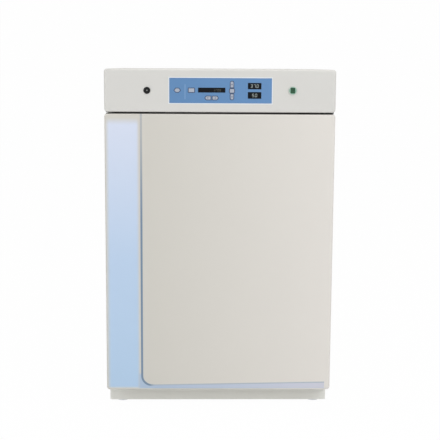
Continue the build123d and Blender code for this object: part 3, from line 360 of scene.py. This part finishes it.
def new_material(name):
    """A new material: its net and its shader."""
    material = bpy.data.materials.new(name)
    material.use_nodes = True
    shader = next(n for n in material.node_tree.nodes if n.type == "BSDF_PRINCIPLED")
    return material, Net(material.node_tree), shader


def start_material(name):
    """A new material with the piece's own coordinates."""
    material, net, shader = new_material(name)
    return material, net, shader, net.node("ShaderNodeTexCoord").outputs["Object"]


def set_plain(shader, **values):
    for name, value in values.items():
        shader.inputs[name.replace("_", " ")].default_value = value


def set_roughness(net, shader, gloss, swing, level):
    """A roughness that swings round its level as the gloss changes."""
    net.plug(net.math("MULTIPLY_ADD", gloss, swing, level), shader.inputs["Roughness"])


def bump(net, shader, height, depth, strength):
    made = net.node("ShaderNodeBump")
    made.inputs["Strength"].default_value = strength
    made.inputs["Distance"].default_value = depth
    net.plug(height, made.inputs["Height"])
    net.plug(made.outputs[0], shader.inputs["Normal"])


def rim_of(low, high, width):
    """What the rim's painted highlight and wear need for the front of a box that is centred on the
    cabinet.
    """
    return {"Centre_X": 0.0, "Centre_Z": (low.z + high.z) / 2, "Half_X": high.x,
            "Half_Z": (high.z - low.z) / 2, "Width": width}


def powder_coat(name, colour, roughness, dust, edge=None, tone=0.03):
    """Powder-coated sheet: orange peel, slow tone, a painted highlight and worn chips along the
    rim, and dust on top.
    """
    material, net, shader, place = start_material(name)
    grain = net.group(POWDER, Vector=place, Tone_Range=tone)
    base = net.shade(colour, grain["Tone"])
    if edge:
        rim = net.group(RIM, Vector=place, **edge)
        # Painted highlight: paler along the rim; then darker chips of wear near it
        base = net.mix(net.times(rim["Mask"], 0.16), base, srgb(238, 236, 230))
        base = net.mix(net.times(rim["Scuff"], 0.35), base, srgb(150, 147, 140))
    dusty = net.group(DUST, Vector=place, Amount=dust)["Mask"]
    net.plug(net.mix(dusty, base, DUST_COLOUR), shader.inputs["Base Color"])
    rough = net.math("MULTIPLY_ADD", grain["Gloss"], 0.07, roughness)
    set_roughness(net, shader, dusty, 0.25, rough)
    bump(net, shader, grain["Height"], 0.00005, 0.5)
    return material


def brushed_steel(name, colour, roughness, turn=(0, 0, 0), fineness=900.0):
    """Brushed sheet steel; turn swings the grain from X to another axis."""
    material, net, shader, place = start_material(name)
    turned = net.mapped(place, Rotation=turn)
    grain = net.group(BRUSHED, Vector=turned, Fineness=fineness)
    net.plug(net.shade(colour, grain["Tone"]), shader.inputs["Base Color"])
    set_roughness(net, shader, grain["Gloss"], 0.16, roughness)
    set_plain(shader, Metallic=1.0)
    bump(net, shader, grain["Height"], 0.00004, 0.35)
    return material


def moulded(name, colour, roughness, scale=700.0, depth=0.00004, coat=0.0, mirror=0.5):
    """Moulded plastic or rubber, or print, with a fine texture; mirror is how much it reflects."""
    material, net, shader, place = start_material(name)
    grain = net.group(POWDER, Vector=place, Scale=scale, Tone_Range=0.06)
    net.plug(net.shade(colour, grain["Tone"]), shader.inputs["Base Color"])
    set_roughness(net, shader, grain["Gloss"], 0.08, roughness)
    set_plain(shader, Coat_Weight=coat, Coat_Roughness=0.15, Specular_IOR_Level=mirror)
    bump(net, shader, grain["Height"], depth, 0.5)
    return material


def clear_glass():
    """Tempered glass with faint smears."""
    material, net, shader, place = start_material("tempered glass")
    smear = net.ramp(net.noise(place, 9.0, 5.0, 0.65), 0.45, 0.8, 0.0, 0.05)
    net.plug(smear, shader.inputs["Roughness"])
    set_plain(shader, Base_Color=(0.93, 0.985, 0.97, 1), Transmission_Weight=1.0, IOR=1.5)
    return material


def foam_slab():
    """Yellowish insulation foam, open-celled where it is cut."""
    material, net, shader, place = start_material("insulation foam")
    cells = net.node("ShaderNodeTexVoronoi", feature="F1")
    net.plug(place, cells.inputs["Vector"])
    cells.inputs["Scale"].default_value = 420.0
    tone = net.ramp(cells.outputs["Distance"], 0.0, 0.7, 1.03, 0.86)
    net.plug(net.shade(srgb(232, 219, 170), tone), shader.inputs["Base Color"])
    net.plug(net.ramp(net.noise(place, 30.0), 0.3, 0.7, 0.75, 0.95), shader.inputs["Roughness"])
    bump(net, shader, cells.outputs["Distance"], 0.0006, 0.6)
    return material


def band_mask(net, x, z):
    """Where the pale blue band at the door's left lies."""
    sides = net.times(net.ramp(x, *BAND_LEFT), net.ramp(x, *BAND_RIGHT, 1.0, 0.0))
    ends = net.times(net.ramp(z, *BAND_TOP, 1.0, 0.0), net.ramp(z, *BAND_FOOT))
    return net.times(sides, ends)


def past_line(net, x, z):
    """How far a point lies beyond the thin line, towards the door's left or foot."""
    level_z = net.math("MULTIPLY_ADD", net.math("SUBTRACT", x, LINE_X), -LINE_RISE, z)
    in_x = net.math("SUBTRACT", LINE_X + LINE_R, x)
    in_z = net.math("SUBTRACT", LINE_Z + LINE_R, level_z)
    corner = net.length(net.math("MAXIMUM", in_x, 0.0), net.math("MAXIMUM", in_z, 0.0))
    inside = net.math("MINIMUM", net.math("MAXIMUM", in_x, in_z), 0.0)
    return net.math("SUBTRACT", net.math("ADD", corner, inside), LINE_R)


def door_paint():
    """The door's powder coat with its print, on the front only, painted light paler towards the
    right, a painted highlight along its rim and a painted shadow along its top edge.
    """
    material, net, shader, place = start_material("door powder coat")
    grain = net.group(POWDER, Vector=place, Tone_Range=0.02)
    x, y, z = net.axes(place)
    front = net.ramp(y, DOOR_LOW.y + PRINT_DEPTH[0], DOOR_LOW.y + PRINT_DEPTH[1], 1.0, 0.0)

    # Painted light: the door's colour turns paler towards its right, where more light falls
    across = net.ramp(x, *DOOR_LIGHT_X, smooth=False)
    base = net.mix(across, srgb(208, 205, 197), srgb(225, 221, 215))
    # Painted highlight: a paler band along the door's rim
    rim = net.group(RIM, Vector=place, **rim_of(DOOR_LOW, DOOR_HIGH, 0.012))
    base = net.mix(net.times(rim["Mask"], 0.06), base, srgb(236, 234, 229))

    from_foot = net.ramp(z, 0.10, 0.45, smooth=False)
    low_blue = net.mix(from_foot, srgb(178, 205, 232), srgb(187, 209, 235))
    to_top = net.ramp(z, 0.45, 0.85, smooth=False)
    blue = net.mix(to_top, low_blue, srgb(214, 222, 240))
    base = net.mix(net.times(band_mask(net, x, z), front), base, blue)

    past = past_line(net, x, z)
    before_end = net.ramp(x, *LINE_END_X, 1.0, 0.0)
    foot_top = LINE_Z + LINE_R
    run = net.times(
        net.ramp(past, 0.0, 0.002), net.ramp(z, *FOOT_RUN_Z), net.ramp(x, *BAND_RIGHT),
        net.ramp(z, foot_top, foot_top + FOOT_RUN_FADE, 1.0, 0.0), before_end,
    )
    along = net.ramp(x, -0.2, 0.3, smooth=False)
    run_blue = net.mix(along, srgb(172, 191, 213), srgb(204, 206, 218))
    base = net.mix(net.times(run, front), base, run_blue)

    turned = net.ramp(x, *LINE_TURN_X)
    edge = net.times(
        net.ramp(net.off(z, FOOT_EDGE_Z), 0.0005, 0.0014, 1.0, 0.0),
        turned, net.ramp(x, -0.1, 0.28, 1.0, 0.3), front,
    )
    base = net.mix(edge, base, srgb(164, 177, 196))

    half_w = net.math("MULTIPLY_ADD", turned, FOOT_LINE_HALF_W - LINE_HALF_W, LINE_HALF_W)
    beside = net.math("SUBTRACT", net.math("ABSOLUTE", past), half_w)
    line = net.times(net.ramp(beside, -LINE_SOFT, LINE_SOFT, 1.0, 0.0), before_end, front)
    down = net.mix(net.ramp(z, 0.55, 0.87), srgb(112, 135, 160), srgb(178, 180, 182))
    base = net.mix(line, base, net.mix(turned, down, srgb(168, 179, 192)))

    # Painted shadow: a dark band along the door's top edge, where the gap under the header is in
    # shade
    top_shadow = net.times(
        net.ramp(z, DOOR_HIGH.z - TOP_SHADOW_H, DOOR_HIGH.z - TOP_SHADOW_H / 4),
        net.ramp(y, DOOR_LOW.y + TOP_SHADOW_DEPTH[0], DOOR_LOW.y + TOP_SHADOW_DEPTH[1], 0.85, 0.0),
    )
    base = net.mix(top_shadow, base, srgb(52, 50, 48))

    base = net.shade(base, grain["Tone"])
    dusty = net.group(DUST, Vector=place, Amount=0.2)["Mask"]
    net.plug(net.mix(dusty, base, DUST_COLOUR), shader.inputs["Base Color"])
    set_roughness(net, shader, grain["Gloss"], 0.06, 0.36)
    set_plain(shader, Coat_Weight=0.15, Coat_Roughness=0.25)
    bump(net, shader, grain["Height"], 0.00005, 0.45)
    return material


def membrane_blue():
    """Printed polyester: blue with soft cloudy print, painted light paler towards the right, two
    rules and a fine matt texture.
    """
    material, net, shader, place = start_material("blue membrane")
    grain = net.group(POWDER, Vector=place, Scale=1500.0, Tone_Range=0.10)
    x, _, z = net.axes(place)
    # Painted light: the blue turns a little paler towards the right, where more light falls
    across = net.ramp(x, *MEMBRANE_LIGHT_X, smooth=False)
    base = net.mix(across, srgb(91, 134, 180), srgb(95, 138, 186))
    rule = net.times(
        net.ramp(net.off(x, RULE_X), *RULE_HALF_W, 1.0, 0.0),
        net.ramp(net.off(z, RULE_Z), *RULE_HALF_H, 1.0, 0.0),
    )
    base = net.mix(net.times(rule, 0.4), base, srgb(170, 200, 228))
    beat = net.math("SINE", net.times(z, 2 * pi / DOTS_PITCH))
    dots = net.times(
        net.ramp(net.off(x, DOTS_X), *DOTS_HALF_W, 1.0, 0.0), net.ramp(beat, -0.1, 0.3),
        net.ramp(net.off(z, DOTS_Z), *DOTS_HALF_H, 1.0, 0.0),
    )
    base = net.mix(net.times(dots, 0.3), base, srgb(84, 110, 150))
    net.plug(net.shade(base, grain["Tone"]), shader.inputs["Base Color"])
    set_roughness(net, shader, grain["Gloss"], 0.06, 0.38)
    bump(net, shader, grain["Height"], 0.00002, 0.4)
    return material


def switch_ring():
    """The switch's pale grey collar, with a painted green glow from the lit rocker round the
    rocker.
    """
    material, net, shader, place = start_material("switch collar")
    low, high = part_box("switch_bezel")
    centre = (low + high) / 2
    grain = net.group(POWDER, Vector=place, Scale=1100.0, Tone_Range=0.05)
    x, _, z = net.axes(place)
    out = net.length(net.math("SUBTRACT", x, centre.x), net.math("SUBTRACT", z, centre.z))
    # Painted glow: the lit rocker's green light painted onto the collar round it
    green_glow = net.ramp(out, SWITCH_GLOW_R - 0.0006, SWITCH_GLOW_R, 1.0, 0.0)
    base = net.mix(green_glow, srgb(200, 204, 198), srgb(128, 172, 150))
    net.plug(net.shade(base, grain["Tone"]), shader.inputs["Base Color"])
    set_roughness(net, shader, grain["Gloss"], 0.08, 0.3)
    set_plain(shader, Coat_Weight=0.4, Coat_Roughness=0.12)
    bump(net, shader, grain["Height"], 0.00002, 0.4)
    return material


def lit(name, colour, glow, strength):
    """A lens or a lit segment, with a faint unevenness in its glow."""
    material, net, shader, place = start_material(name)
    cloud = net.ramp(net.noise(place, 260.0, 2.0), 0.3, 0.7, 0.88, 1.08, smooth=False)
    net.plug(net.shade(colour, cloud), shader.inputs["Base Color"])
    net.plug(net.shade(glow, cloud), shader.inputs["Emission Color"])
    net.plug(net.ramp(cloud, 0.88, 1.08, 0.25, 0.35), shader.inputs["Roughness"])
    set_plain(shader, Emission_Strength=strength)
    return material


def circuit_green():
    """A circuit board's lacquer over its copper tracks."""
    material, net, shader, place = start_material("circuit board")
    tracks = net.node("ShaderNodeTexBrick")
    net.plug(place, tracks.inputs["Vector"])
    tracks.inputs["Scale"].default_value = 90.0
    tracks.inputs["Mortar Size"].default_value = 0.03
    tracks.inputs["Color1"].default_value = srgb(22, 92, 52)
    tracks.inputs["Color2"].default_value = srgb(18, 80, 46)
    tracks.inputs["Mortar"].default_value = srgb(60, 128, 74)
    net.plug(tracks.outputs["Color"], shader.inputs["Base Color"])
    net.plug(net.ramp(net.noise(place, 60.0), 0.3, 0.7, 0.3, 0.45), shader.inputs["Roughness"])
    bump(net, shader, tracks.outputs["Fac"], 0.0001, 0.5)
    return material


# Finishes: first those of the slots in the record, then those of single pieces

finish_of = {
    "cabinet_paint": powder_coat("cabinet powder coat", srgb(209, 207, 201), 0.42, 0.25),
    "door_paint": door_paint(),
    # The fascia gets a painted highlight and worn chips along its rim
    "fascia_paint": powder_coat(
        "fascia powder coat", srgb(214, 213, 209), 0.38, 0.2,
        edge=rim_of(HEADER_LOW, HEADER_HIGH, 0.008), tone=0.02),
    # Painted light: the plinth's colour is raised to lift the shade it sits in under the door
    "plinth_paint": powder_coat("plinth coat with painted light", srgb(238, 238, 232), 0.5, 0.2, tone=0.04),
    "stainless": brushed_steel("brushed stainless", (0.66, 0.66, 0.65, 1), 0.28),
    "polished_steel": brushed_steel(
        "satin stainless", (0.72, 0.72, 0.71, 1), 0.22, fineness=1400.0),
    "zinc_steel": brushed_steel(
        "bright zinc", (0.60, 0.61, 0.63, 1), 0.34, (0, radians(90), 0), 1500.0),
    "frame_plastic": moulded("frame plastic", srgb(216, 214, 208), 0.42),
    "foam": foam_slab(),
    "heater_foil": moulded("heater film", srgb(196, 128, 62), 0.35, 300.0),
    "glass": clear_glass(),
    "silicone": moulded("white silicone", srgb(216, 216, 212), 0.5, 900.0),
    "magnet_gasket": moulded("door gasket", srgb(196, 196, 192), 0.55, 900.0),
    "black_rubber": moulded("black rubber", srgb(17, 17, 18), 0.5, 900.0, mirror=0.2),
    "black_plastic": moulded(
        "black plastic", srgb(15, 16, 18), 0.3, 1200.0, 0.00002, coat=0.1, mirror=0.3),
    "grey_plastic": switch_ring(),
    "white_plastic": moulded("white plastic", srgb(224, 224, 220), 0.4),
    "overlay_blue": membrane_blue(),
    "key_blue": moulded("key face", srgb(170, 177, 190), 0.35, 1500.0, 0.00002),
    "green_lens": lit("green rocker lens", srgb(18, 70, 42), srgb(26, 110, 64), 0.10),
    "circuit_board": circuit_green(),
    "filter_media": moulded("pleated media", srgb(232, 232, 228), 0.8, 500.0, 0.0002),
    "bronze": brushed_steel("sintered bronze", (0.48, 0.34, 0.19, 1), 0.45),
}
single_finish = {
    "bracket": powder_coat("dark bracket coat", srgb(44, 44, 46), 0.45, 0.1, tone=0.05),
    # A grey that also paints the sample port's highlight
    "button": moulded("grey port button with painted highlight", srgb(118, 120, 118), 0.3, 1200.0, 0.00001),
    "display": moulded(
        "display window", srgb(12, 15, 20), 0.35, 1500.0, 0.00001, mirror=0.12),
    # Black strips that paint the shade in the gap under the header
    "gap_shade": moulded("black strip of painted gap shade", srgb(14, 14, 15), 0.9, 600.0, 0.0001, mirror=0.05),
    "key_rim": moulded("key rim print", srgb(58, 74, 106), 0.35, 1500.0, 0.00002),
    "key_mark": moulded("key mark print", srgb(70, 84, 112), 0.35, 1500.0, 0.00002),
    "border": moulded("panel border", srgb(228, 231, 234), 0.5, 1200.0, 0.00002),
    "digit": lit("lit digit", srgb(126, 134, 132), srgb(168, 178, 176), 0.5),
    "message": lit("message dot", srgb(84, 86, 76), srgb(96, 98, 84), 0.18),
    "screw": brushed_steel("screw head", (0.55, 0.55, 0.56, 1), 0.3, fineness=300.0),
}
node_finish = {
    "display_board": single_finish["display"],
    "door_hinge_brackets": single_finish["bracket"],
}

slot_of = {s["node"]: s["material_slot"] for s in frame["record"]["subparts"]}
for name, piece in nodes.items():
    piece.data.materials.clear()
    piece.data.materials.append(node_finish.get(name, finish_of[slot_of[name]]))


# Pieces made here


def to_data(name, mesh):
    """Turns a bmesh into a mesh of its own."""
    data = bpy.data.meshes.new(name)
    mesh.to_mesh(data)
    mesh.free()
    return data


def new_object(name, mesh, material):
    """An object at the origin that shows a bmesh in one finish."""
    data = to_data(name, mesh)
    data.materials.append(material)
    made = bpy.data.objects.new(name, data)
    bpy.context.scene.collection.objects.link(made)
    return made


def finished(name, mesh, finish, body):
    """Turns a bmesh into a piece that rides on a body."""
    piece = new_object(name, mesh, single_finish[finish])
    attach(piece, body)


def block(mesh, low, high):
    """Adds a box between two corners."""
    made = bmesh.ops.create_cube(mesh, size=1.0)["verts"]
    low, high = Vector(low), Vector(high)
    bmesh.ops.scale(mesh, vec=high - low, verts=made)
    bmesh.ops.translate(mesh, vec=(low + high) / 2, verts=made)
    return made


def disc(mesh, sides, radius, thickness, top_radius=None):
    """Adds a flat disc at the origin, standing on z."""
    return bmesh.ops.create_cone(
        mesh, cap_ends=True, segments=sides, radius1=radius,
        radius2=top_radius or radius, depth=thickness,
    )["verts"]


def pull(mesh, geom, shift):
    """Draws faces, or the border edges of a sheet, out along a shift."""
    if isinstance(geom[0], bmesh.types.BMEdge):
        drawn = bmesh.ops.extrude_edge_only(mesh, edges=geom)
    else:
        drawn = bmesh.ops.extrude_face_region(mesh, geom=geom)
    verts = [g for g in drawn["geom"] if isinstance(g, bmesh.types.BMVert)]
    bmesh.ops.translate(mesh, vec=shift, verts=verts)


def ease(mesh, edges, offset, segments):
    """Rounds edges."""
    bmesh.ops.bevel(
        mesh, geom=edges, offset=offset, segments=segments, profile=0.5,
        affect="EDGES", material=-1,
    )


def border_ring(mesh, faces, width):
    """Leaves only a ring of a width along the border of flat faces."""
    ring = bmesh.ops.inset_region(
        mesh, faces=faces, thickness=width, use_even_offset=True, use_boundary=True
    )["faces"]
    core = [f for f in mesh.faces if f not in set(ring)]
    bmesh.ops.delete(mesh, geom=core, context="FACES")


def face_front(mesh, place):
    """Turns a shape that stands on z to face the front, and puts it in its place."""
    turn = Matrix.Rotation(radians(90), 3, "X")
    bmesh.ops.rotate(mesh, cent=(0, 0, 0), matrix=turn, verts=mesh.verts)
    bmesh.ops.translate(mesh, vec=place, verts=mesh.verts)


def front_faces(node):
    """A merged copy of a node's front face, as one polygon."""
    mesh = bmesh.new()
    mesh.from_mesh(nodes[node].data)
    bmesh.ops.remove_doubles(mesh, verts=mesh.verts, dist=0.00001)
    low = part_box(node)[0].y
    away = [f for f in mesh.faces if abs(f.calc_center_median().y - low) > 0.00005]
    bmesh.ops.delete(mesh, geom=away, context="FACES")
    bmesh.ops.dissolve_limit(mesh, angle_limit=radians(2), verts=mesh.verts, edges=mesh.edges)
    return mesh


def shade_strip(name, low, high, body):
    """A black strip with eased edges, stuck along a flat edge, that paints the shade in a gap."""
    mesh = bmesh.new()
    block(mesh, low, high)
    long_edges = [e for e in mesh.edges if e.calc_length() > STRIP_EASE * 8]
    ease(mesh, long_edges, STRIP_EASE, 2)
    finished(name, mesh, "gap_shade", body)


def gap_shade_strips():
    """Black strips under the header and on the door's top edge, that paint the shade in the gap
    between them.
    """
    x = HEADER_HIGH.x - STRIP_IN
    y = HEADER_LOW.y + STRIP_IN
    z = HEADER_LOW.z
    shade_strip("header_shade_strip", (-x, y, z - STRIP_T), (x, y + HEADER_STRIP_W, z), "header")
    y = DOOR_LOW.y + 2 * STRIP_IN
    z = DOOR_HIGH.z
    shade_strip("door_shade_strip", (-x, y, z), (x, y + DOOR_STRIP_W, z + STRIP_T), "outer_door")


def port_button_highlight():
    """The small grey button in the middle of the sample port's cap; its pale grey also paints the
    port's highlight.
    """
    low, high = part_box("sample_port_cap")
    centre = (low + high) / 2
    mesh = bmesh.new()
    disc(mesh, PORT_BUTTON_HIGHLIGHT_SIDES, PORT_BUTTON_HIGHLIGHT_R, PORT_BUTTON_HIGHLIGHT_T)
    front = max(mesh.faces, key=lambda f: f.calc_center_median().z)
    ease(mesh, front.edges[:], PORT_BUTTON_HIGHLIGHT_T * 0.7, 4)
    face_front(mesh, (centre.x, low.y - PORT_BUTTON_HIGHLIGHT_T / 2, centre.z))
    finished("port_button_highlight", mesh, "button", "port_cap")


def key_print(node):
    """The dark rim printed round a key, standing a print's thickness off it."""
    mesh = front_faces(node)
    border_ring(mesh, mesh.faces[:], KEY_RIM_W)
    pull(mesh, mesh.faces[:], (0, -PRINT_T, 0))
    bmesh.ops.recalc_face_normals(mesh, faces=mesh.faces)
    finished(f"{node}_rim", mesh, "key_rim", f"{node}_body")


def arrow_mark(node, turn):
    """A small dark triangle on an arrow key, turned from pointing right."""
    low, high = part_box(node)
    centre = (low + high) / 2
    mesh = bmesh.new()
    made = disc(mesh, 3, ARROW_R, PRINT_T)
    spin = Matrix.Rotation(radians(turn), 3, "Z")
    bmesh.ops.rotate(mesh, cent=(0, 0, 0), matrix=spin, verts=made)
    face_front(mesh, (centre.x, low.y - PRINT_T / 2, centre.z))
    bmesh.ops.recalc_face_normals(mesh, faces=mesh.faces)
    finished(f"{node}_arrow", mesh, "key_mark", f"{node}_body")


def panel_border():
    """The pale raised border round the blue membrane."""
    low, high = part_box("keypad_overlay")
    front = HEADER_LOW.y
    left, right = low.x - PANEL_BORDER_W, high.x + PANEL_BORDER_W
    foot, top = low.z - PANEL_BORDER_W, high.z + PANEL_BORDER_W
    mesh = bmesh.new()
    corners = ((left, foot), (right, foot), (right, top), (left, top))
    face = mesh.faces.new([mesh.verts.new((x, front, z)) for x, z in corners])
    mesh.normal_update()
    border_ring(mesh, [face], PANEL_BORDER_W + PANEL_BORDER_LAP)
    pull(mesh, mesh.faces[:], (0, -PANEL_BORDER_T, 0))
    bmesh.ops.recalc_face_normals(mesh, faces=mesh.faces)
    raised = front - PANEL_BORDER_T / 2
    rim = [e for e in mesh.edges
           if e.calc_length() > 0.02 and all(v.co.y < raised for v in e.verts)]
    ease(mesh, rim, PANEL_BORDER_EASE, 2)
    finished("panel_border", mesh, "border", "header")


def figures(name, text, x, z, height, finish):
    """A number in lit bars on the display board, centred on x and z."""
    mesh = bmesh.new()
    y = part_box("display_board")[0].y
    width = FIGURE_W * height
    bar = FIGURE_BAR * height
    pitch = width + FIGURE_GAP * height
    x -= pitch * (len(text.replace(".", "")) - 1) / 2
    for mark in text:
        if mark == ".":
            made = block(mesh, (-bar / 2, -PRINT_T, -bar / 2), (bar / 2, 0, bar / 2))
            bmesh.ops.translate(mesh, vec=(x - pitch / 2, y, z - height / 2), verts=made)
            continue
        for segment in DIGITS[mark]:
            dx, dz, upright = SEGMENTS[segment]
            half = ((height / 2 if upright else width) - 1.1 * bar) / 2
            half_x, half_z = (bar / 2, half) if upright else (half, bar / 2)
            made = block(mesh, (-half_x, -PRINT_T, -half_z), (half_x, 0, half_z))
            up = dz * (height - bar) / 2
            aside = dx * (width - bar) + FIGURE_LEAN * up
            bmesh.ops.translate(mesh, vec=(x + aside, y, z + up), verts=made)
        x += pitch
    bmesh.ops.recalc_face_normals(mesh, faces=mesh.faces)
    finished(name, mesh, finish, "header")


def pan_screw():
    """A pan-head screw with a round socket, at the origin and facing up."""
    mesh = bmesh.new()
    disc(mesh, SCREW_SIDES, SCREW_R, SCREW_H, top_radius=SCREW_R * 0.86)
    bmesh.ops.translate(mesh, vec=(0, 0, SCREW_H / 2), verts=mesh.verts)

    def top_face():
        caps = [f for f in mesh.faces if len(f.verts) >= SCREW_SIDES]
        return max(caps, key=lambda f: f.calc_center_median().z)

    ease(mesh, top_face().edges[:], SCREW_H * 0.3, 3)
    top = top_face()
    bmesh.ops.inset_region(mesh, faces=[top], thickness=SCREW_R * 0.42)
    pull(mesh, [top], (0, 0, -SCREW_H * 0.55))
    bmesh.ops.delete(mesh, geom=[top], context="FACES")
    bmesh.ops.recalc_face_normals(mesh, faces=mesh.faces)
    return to_data("pan_screw", mesh)


def rear_screws():
    """The screws down both sides of the rear panel."""
    low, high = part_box("rear_panel")
    first = low.z + REAR_SCREW_IN
    span = high.z - low.z - 2 * REAR_SCREW_IN
    pattern = pan_screw()
    turn = Vector((0, 0, 1)).rotation_difference(Vector((0, 1, 0))).to_matrix().to_4x4()
    mesh = bmesh.new()
    for x in (low.x + REAR_SCREW_IN, high.x - REAR_SCREW_IN):
        for row in range(REAR_SCREW_ROWS):
            place = (x, high.y, first + span * row / (REAR_SCREW_ROWS - 1))
            screw = pattern.copy()
            screw.transform(Matrix.Translation(place) @ turn)
            mesh.from_mesh(screw)
            bpy.data.meshes.remove(screw)
    bpy.data.meshes.remove(pattern)
    finished("rear_screws", mesh, "screw", "cabinet")


gap_shade_strips()
port_button_highlight()
for key in ("silence_key", "mode_key", "left_key", "right_key", "up_key", "enter_key", "down_key"):
    key_print(key)
for key, turn in ARROW_TURNS.items():
    arrow_mark(key, turn)
panel_border()
figures("temperature_digits", "37.0", READING_X, TEMPERATURE_Z, READING_H, "digit")
figures("gas_digits", "5.0", READING_X, GAS_Z, READING_H, "digit")
figures("message_digits", "3705", MESSAGE_X, MESSAGE_Z, MESSAGE_H, "message")
rear_screws()


# Stage, light and camera


def stage_material():
    """A white floor that keeps a soft shadow: where it is seen, it glows a little."""
    material, net, shader = new_material("white stage")
    set_plain(shader, Base_Color=(0.90, 0.90, 0.90, 1), Roughness=0.9)
    glow = net.node("ShaderNodeEmission")
    set_plain(glow, Color=(1, 1, 1, 1), Strength=1.0)
    blend = net.node("ShaderNodeMixShader")
    net.plug(net.times(net.seen(), STAGE_SEEN_WHITE), blend.inputs[0])
    net.plug(shader.outputs[0], blend.inputs[1])
    net.plug(glow.outputs[0], blend.inputs[2])
    out = next(n for n in material.node_tree.nodes if n.type == "OUTPUT_MATERIAL")
    net.plug(blend.outputs[0], out.inputs["Surface"])
    return material


def build_stage():
    """A floor that turns up behind the object in a wide bend."""
    mesh = bmesh.new()
    bmesh.ops.create_grid(mesh, x_segments=1, y_segments=1, size=FLOOR_HALF)
    back = [e for e in mesh.edges if all(v.co.y > FLOOR_HALF - 1 for v in e.verts)]
    pull(mesh, back, (0, 0, WALL_H))
    ease(mesh, back, WALL_BEND_R, 16)
    new_object("stage", mesh, stage_material())


def build_world():
    """Soft light from all sides, white where it is seen."""
    world = bpy.data.worlds.new("studio")
    bpy.context.scene.world = world
    world.use_nodes = True
    net = Net(world.node_tree)
    sky = next(n for n in world.node_tree.nodes if n.type == "BACKGROUND")
    set_plain(sky, Color=(1, 1, 1, 1))
    net.plug(net.ramp(net.seen(), 0.0, 1.0, WORLD_LIGHT, 1.0, smooth=False), sky.inputs["Strength"])


def area_light(name, place, aim, power):
    data = bpy.data.lights.new(name, "AREA")
    data.shape = "SQUARE"
    data.size = LAMP_SIZE
    data.energy = power
    lamp = bpy.data.objects.new(name, data)
    lamp.location = place
    lamp.rotation_euler = (Vector(aim) - Vector(place)).to_track_quat("-Z", "Y").to_euler()
    bpy.context.scene.collection.objects.link(lamp)


def build_camera():
    """The photograph's camera: it turns by its yaw, then its pitch, then its roll."""
    yaw, pitch, roll = (radians(a) for a in (CAMERA_YAW, CAMERA_PITCH, CAMERA_ROLL))
    ahead = Vector((sin(yaw) * cos(pitch), cos(yaw) * cos(pitch), -sin(pitch)))
    right = Vector((cos(yaw), -sin(yaw), 0))
    up = right.cross(ahead)
    across = cos(roll) * right + sin(roll) * up
    upward = -sin(roll) * right + cos(roll) * up
    data = bpy.data.cameras.new("camera")
    data.sensor_width = SENSOR_W
    data.lens = CAMERA_LENS
    camera = bpy.data.objects.new("camera", data)
    turn = Matrix((across, upward, -ahead)).transposed().to_4x4()
    place = (CAMERA_X, DOOR_LOW.y - CAMERA_AHEAD, CAMERA_Z)
    camera.matrix_world = Matrix.Translation(place) @ turn
    bpy.context.scene.collection.objects.link(camera)
    bpy.context.scene.camera = camera


build_stage()
build_world()
area_light("key", (2.6, -4.2, 3.2), (0, -0.2, 0.5), 95.0)
area_light("fill", (-3.2, -3.8, 2.0), (0, -0.2, 0.5), 45.0)
area_light("top", (0.0, -0.5, 4.2), (0, 0, 0.5), 45.0)
build_camera()

bpy.context.scene.view_settings.view_transform = "Standard"
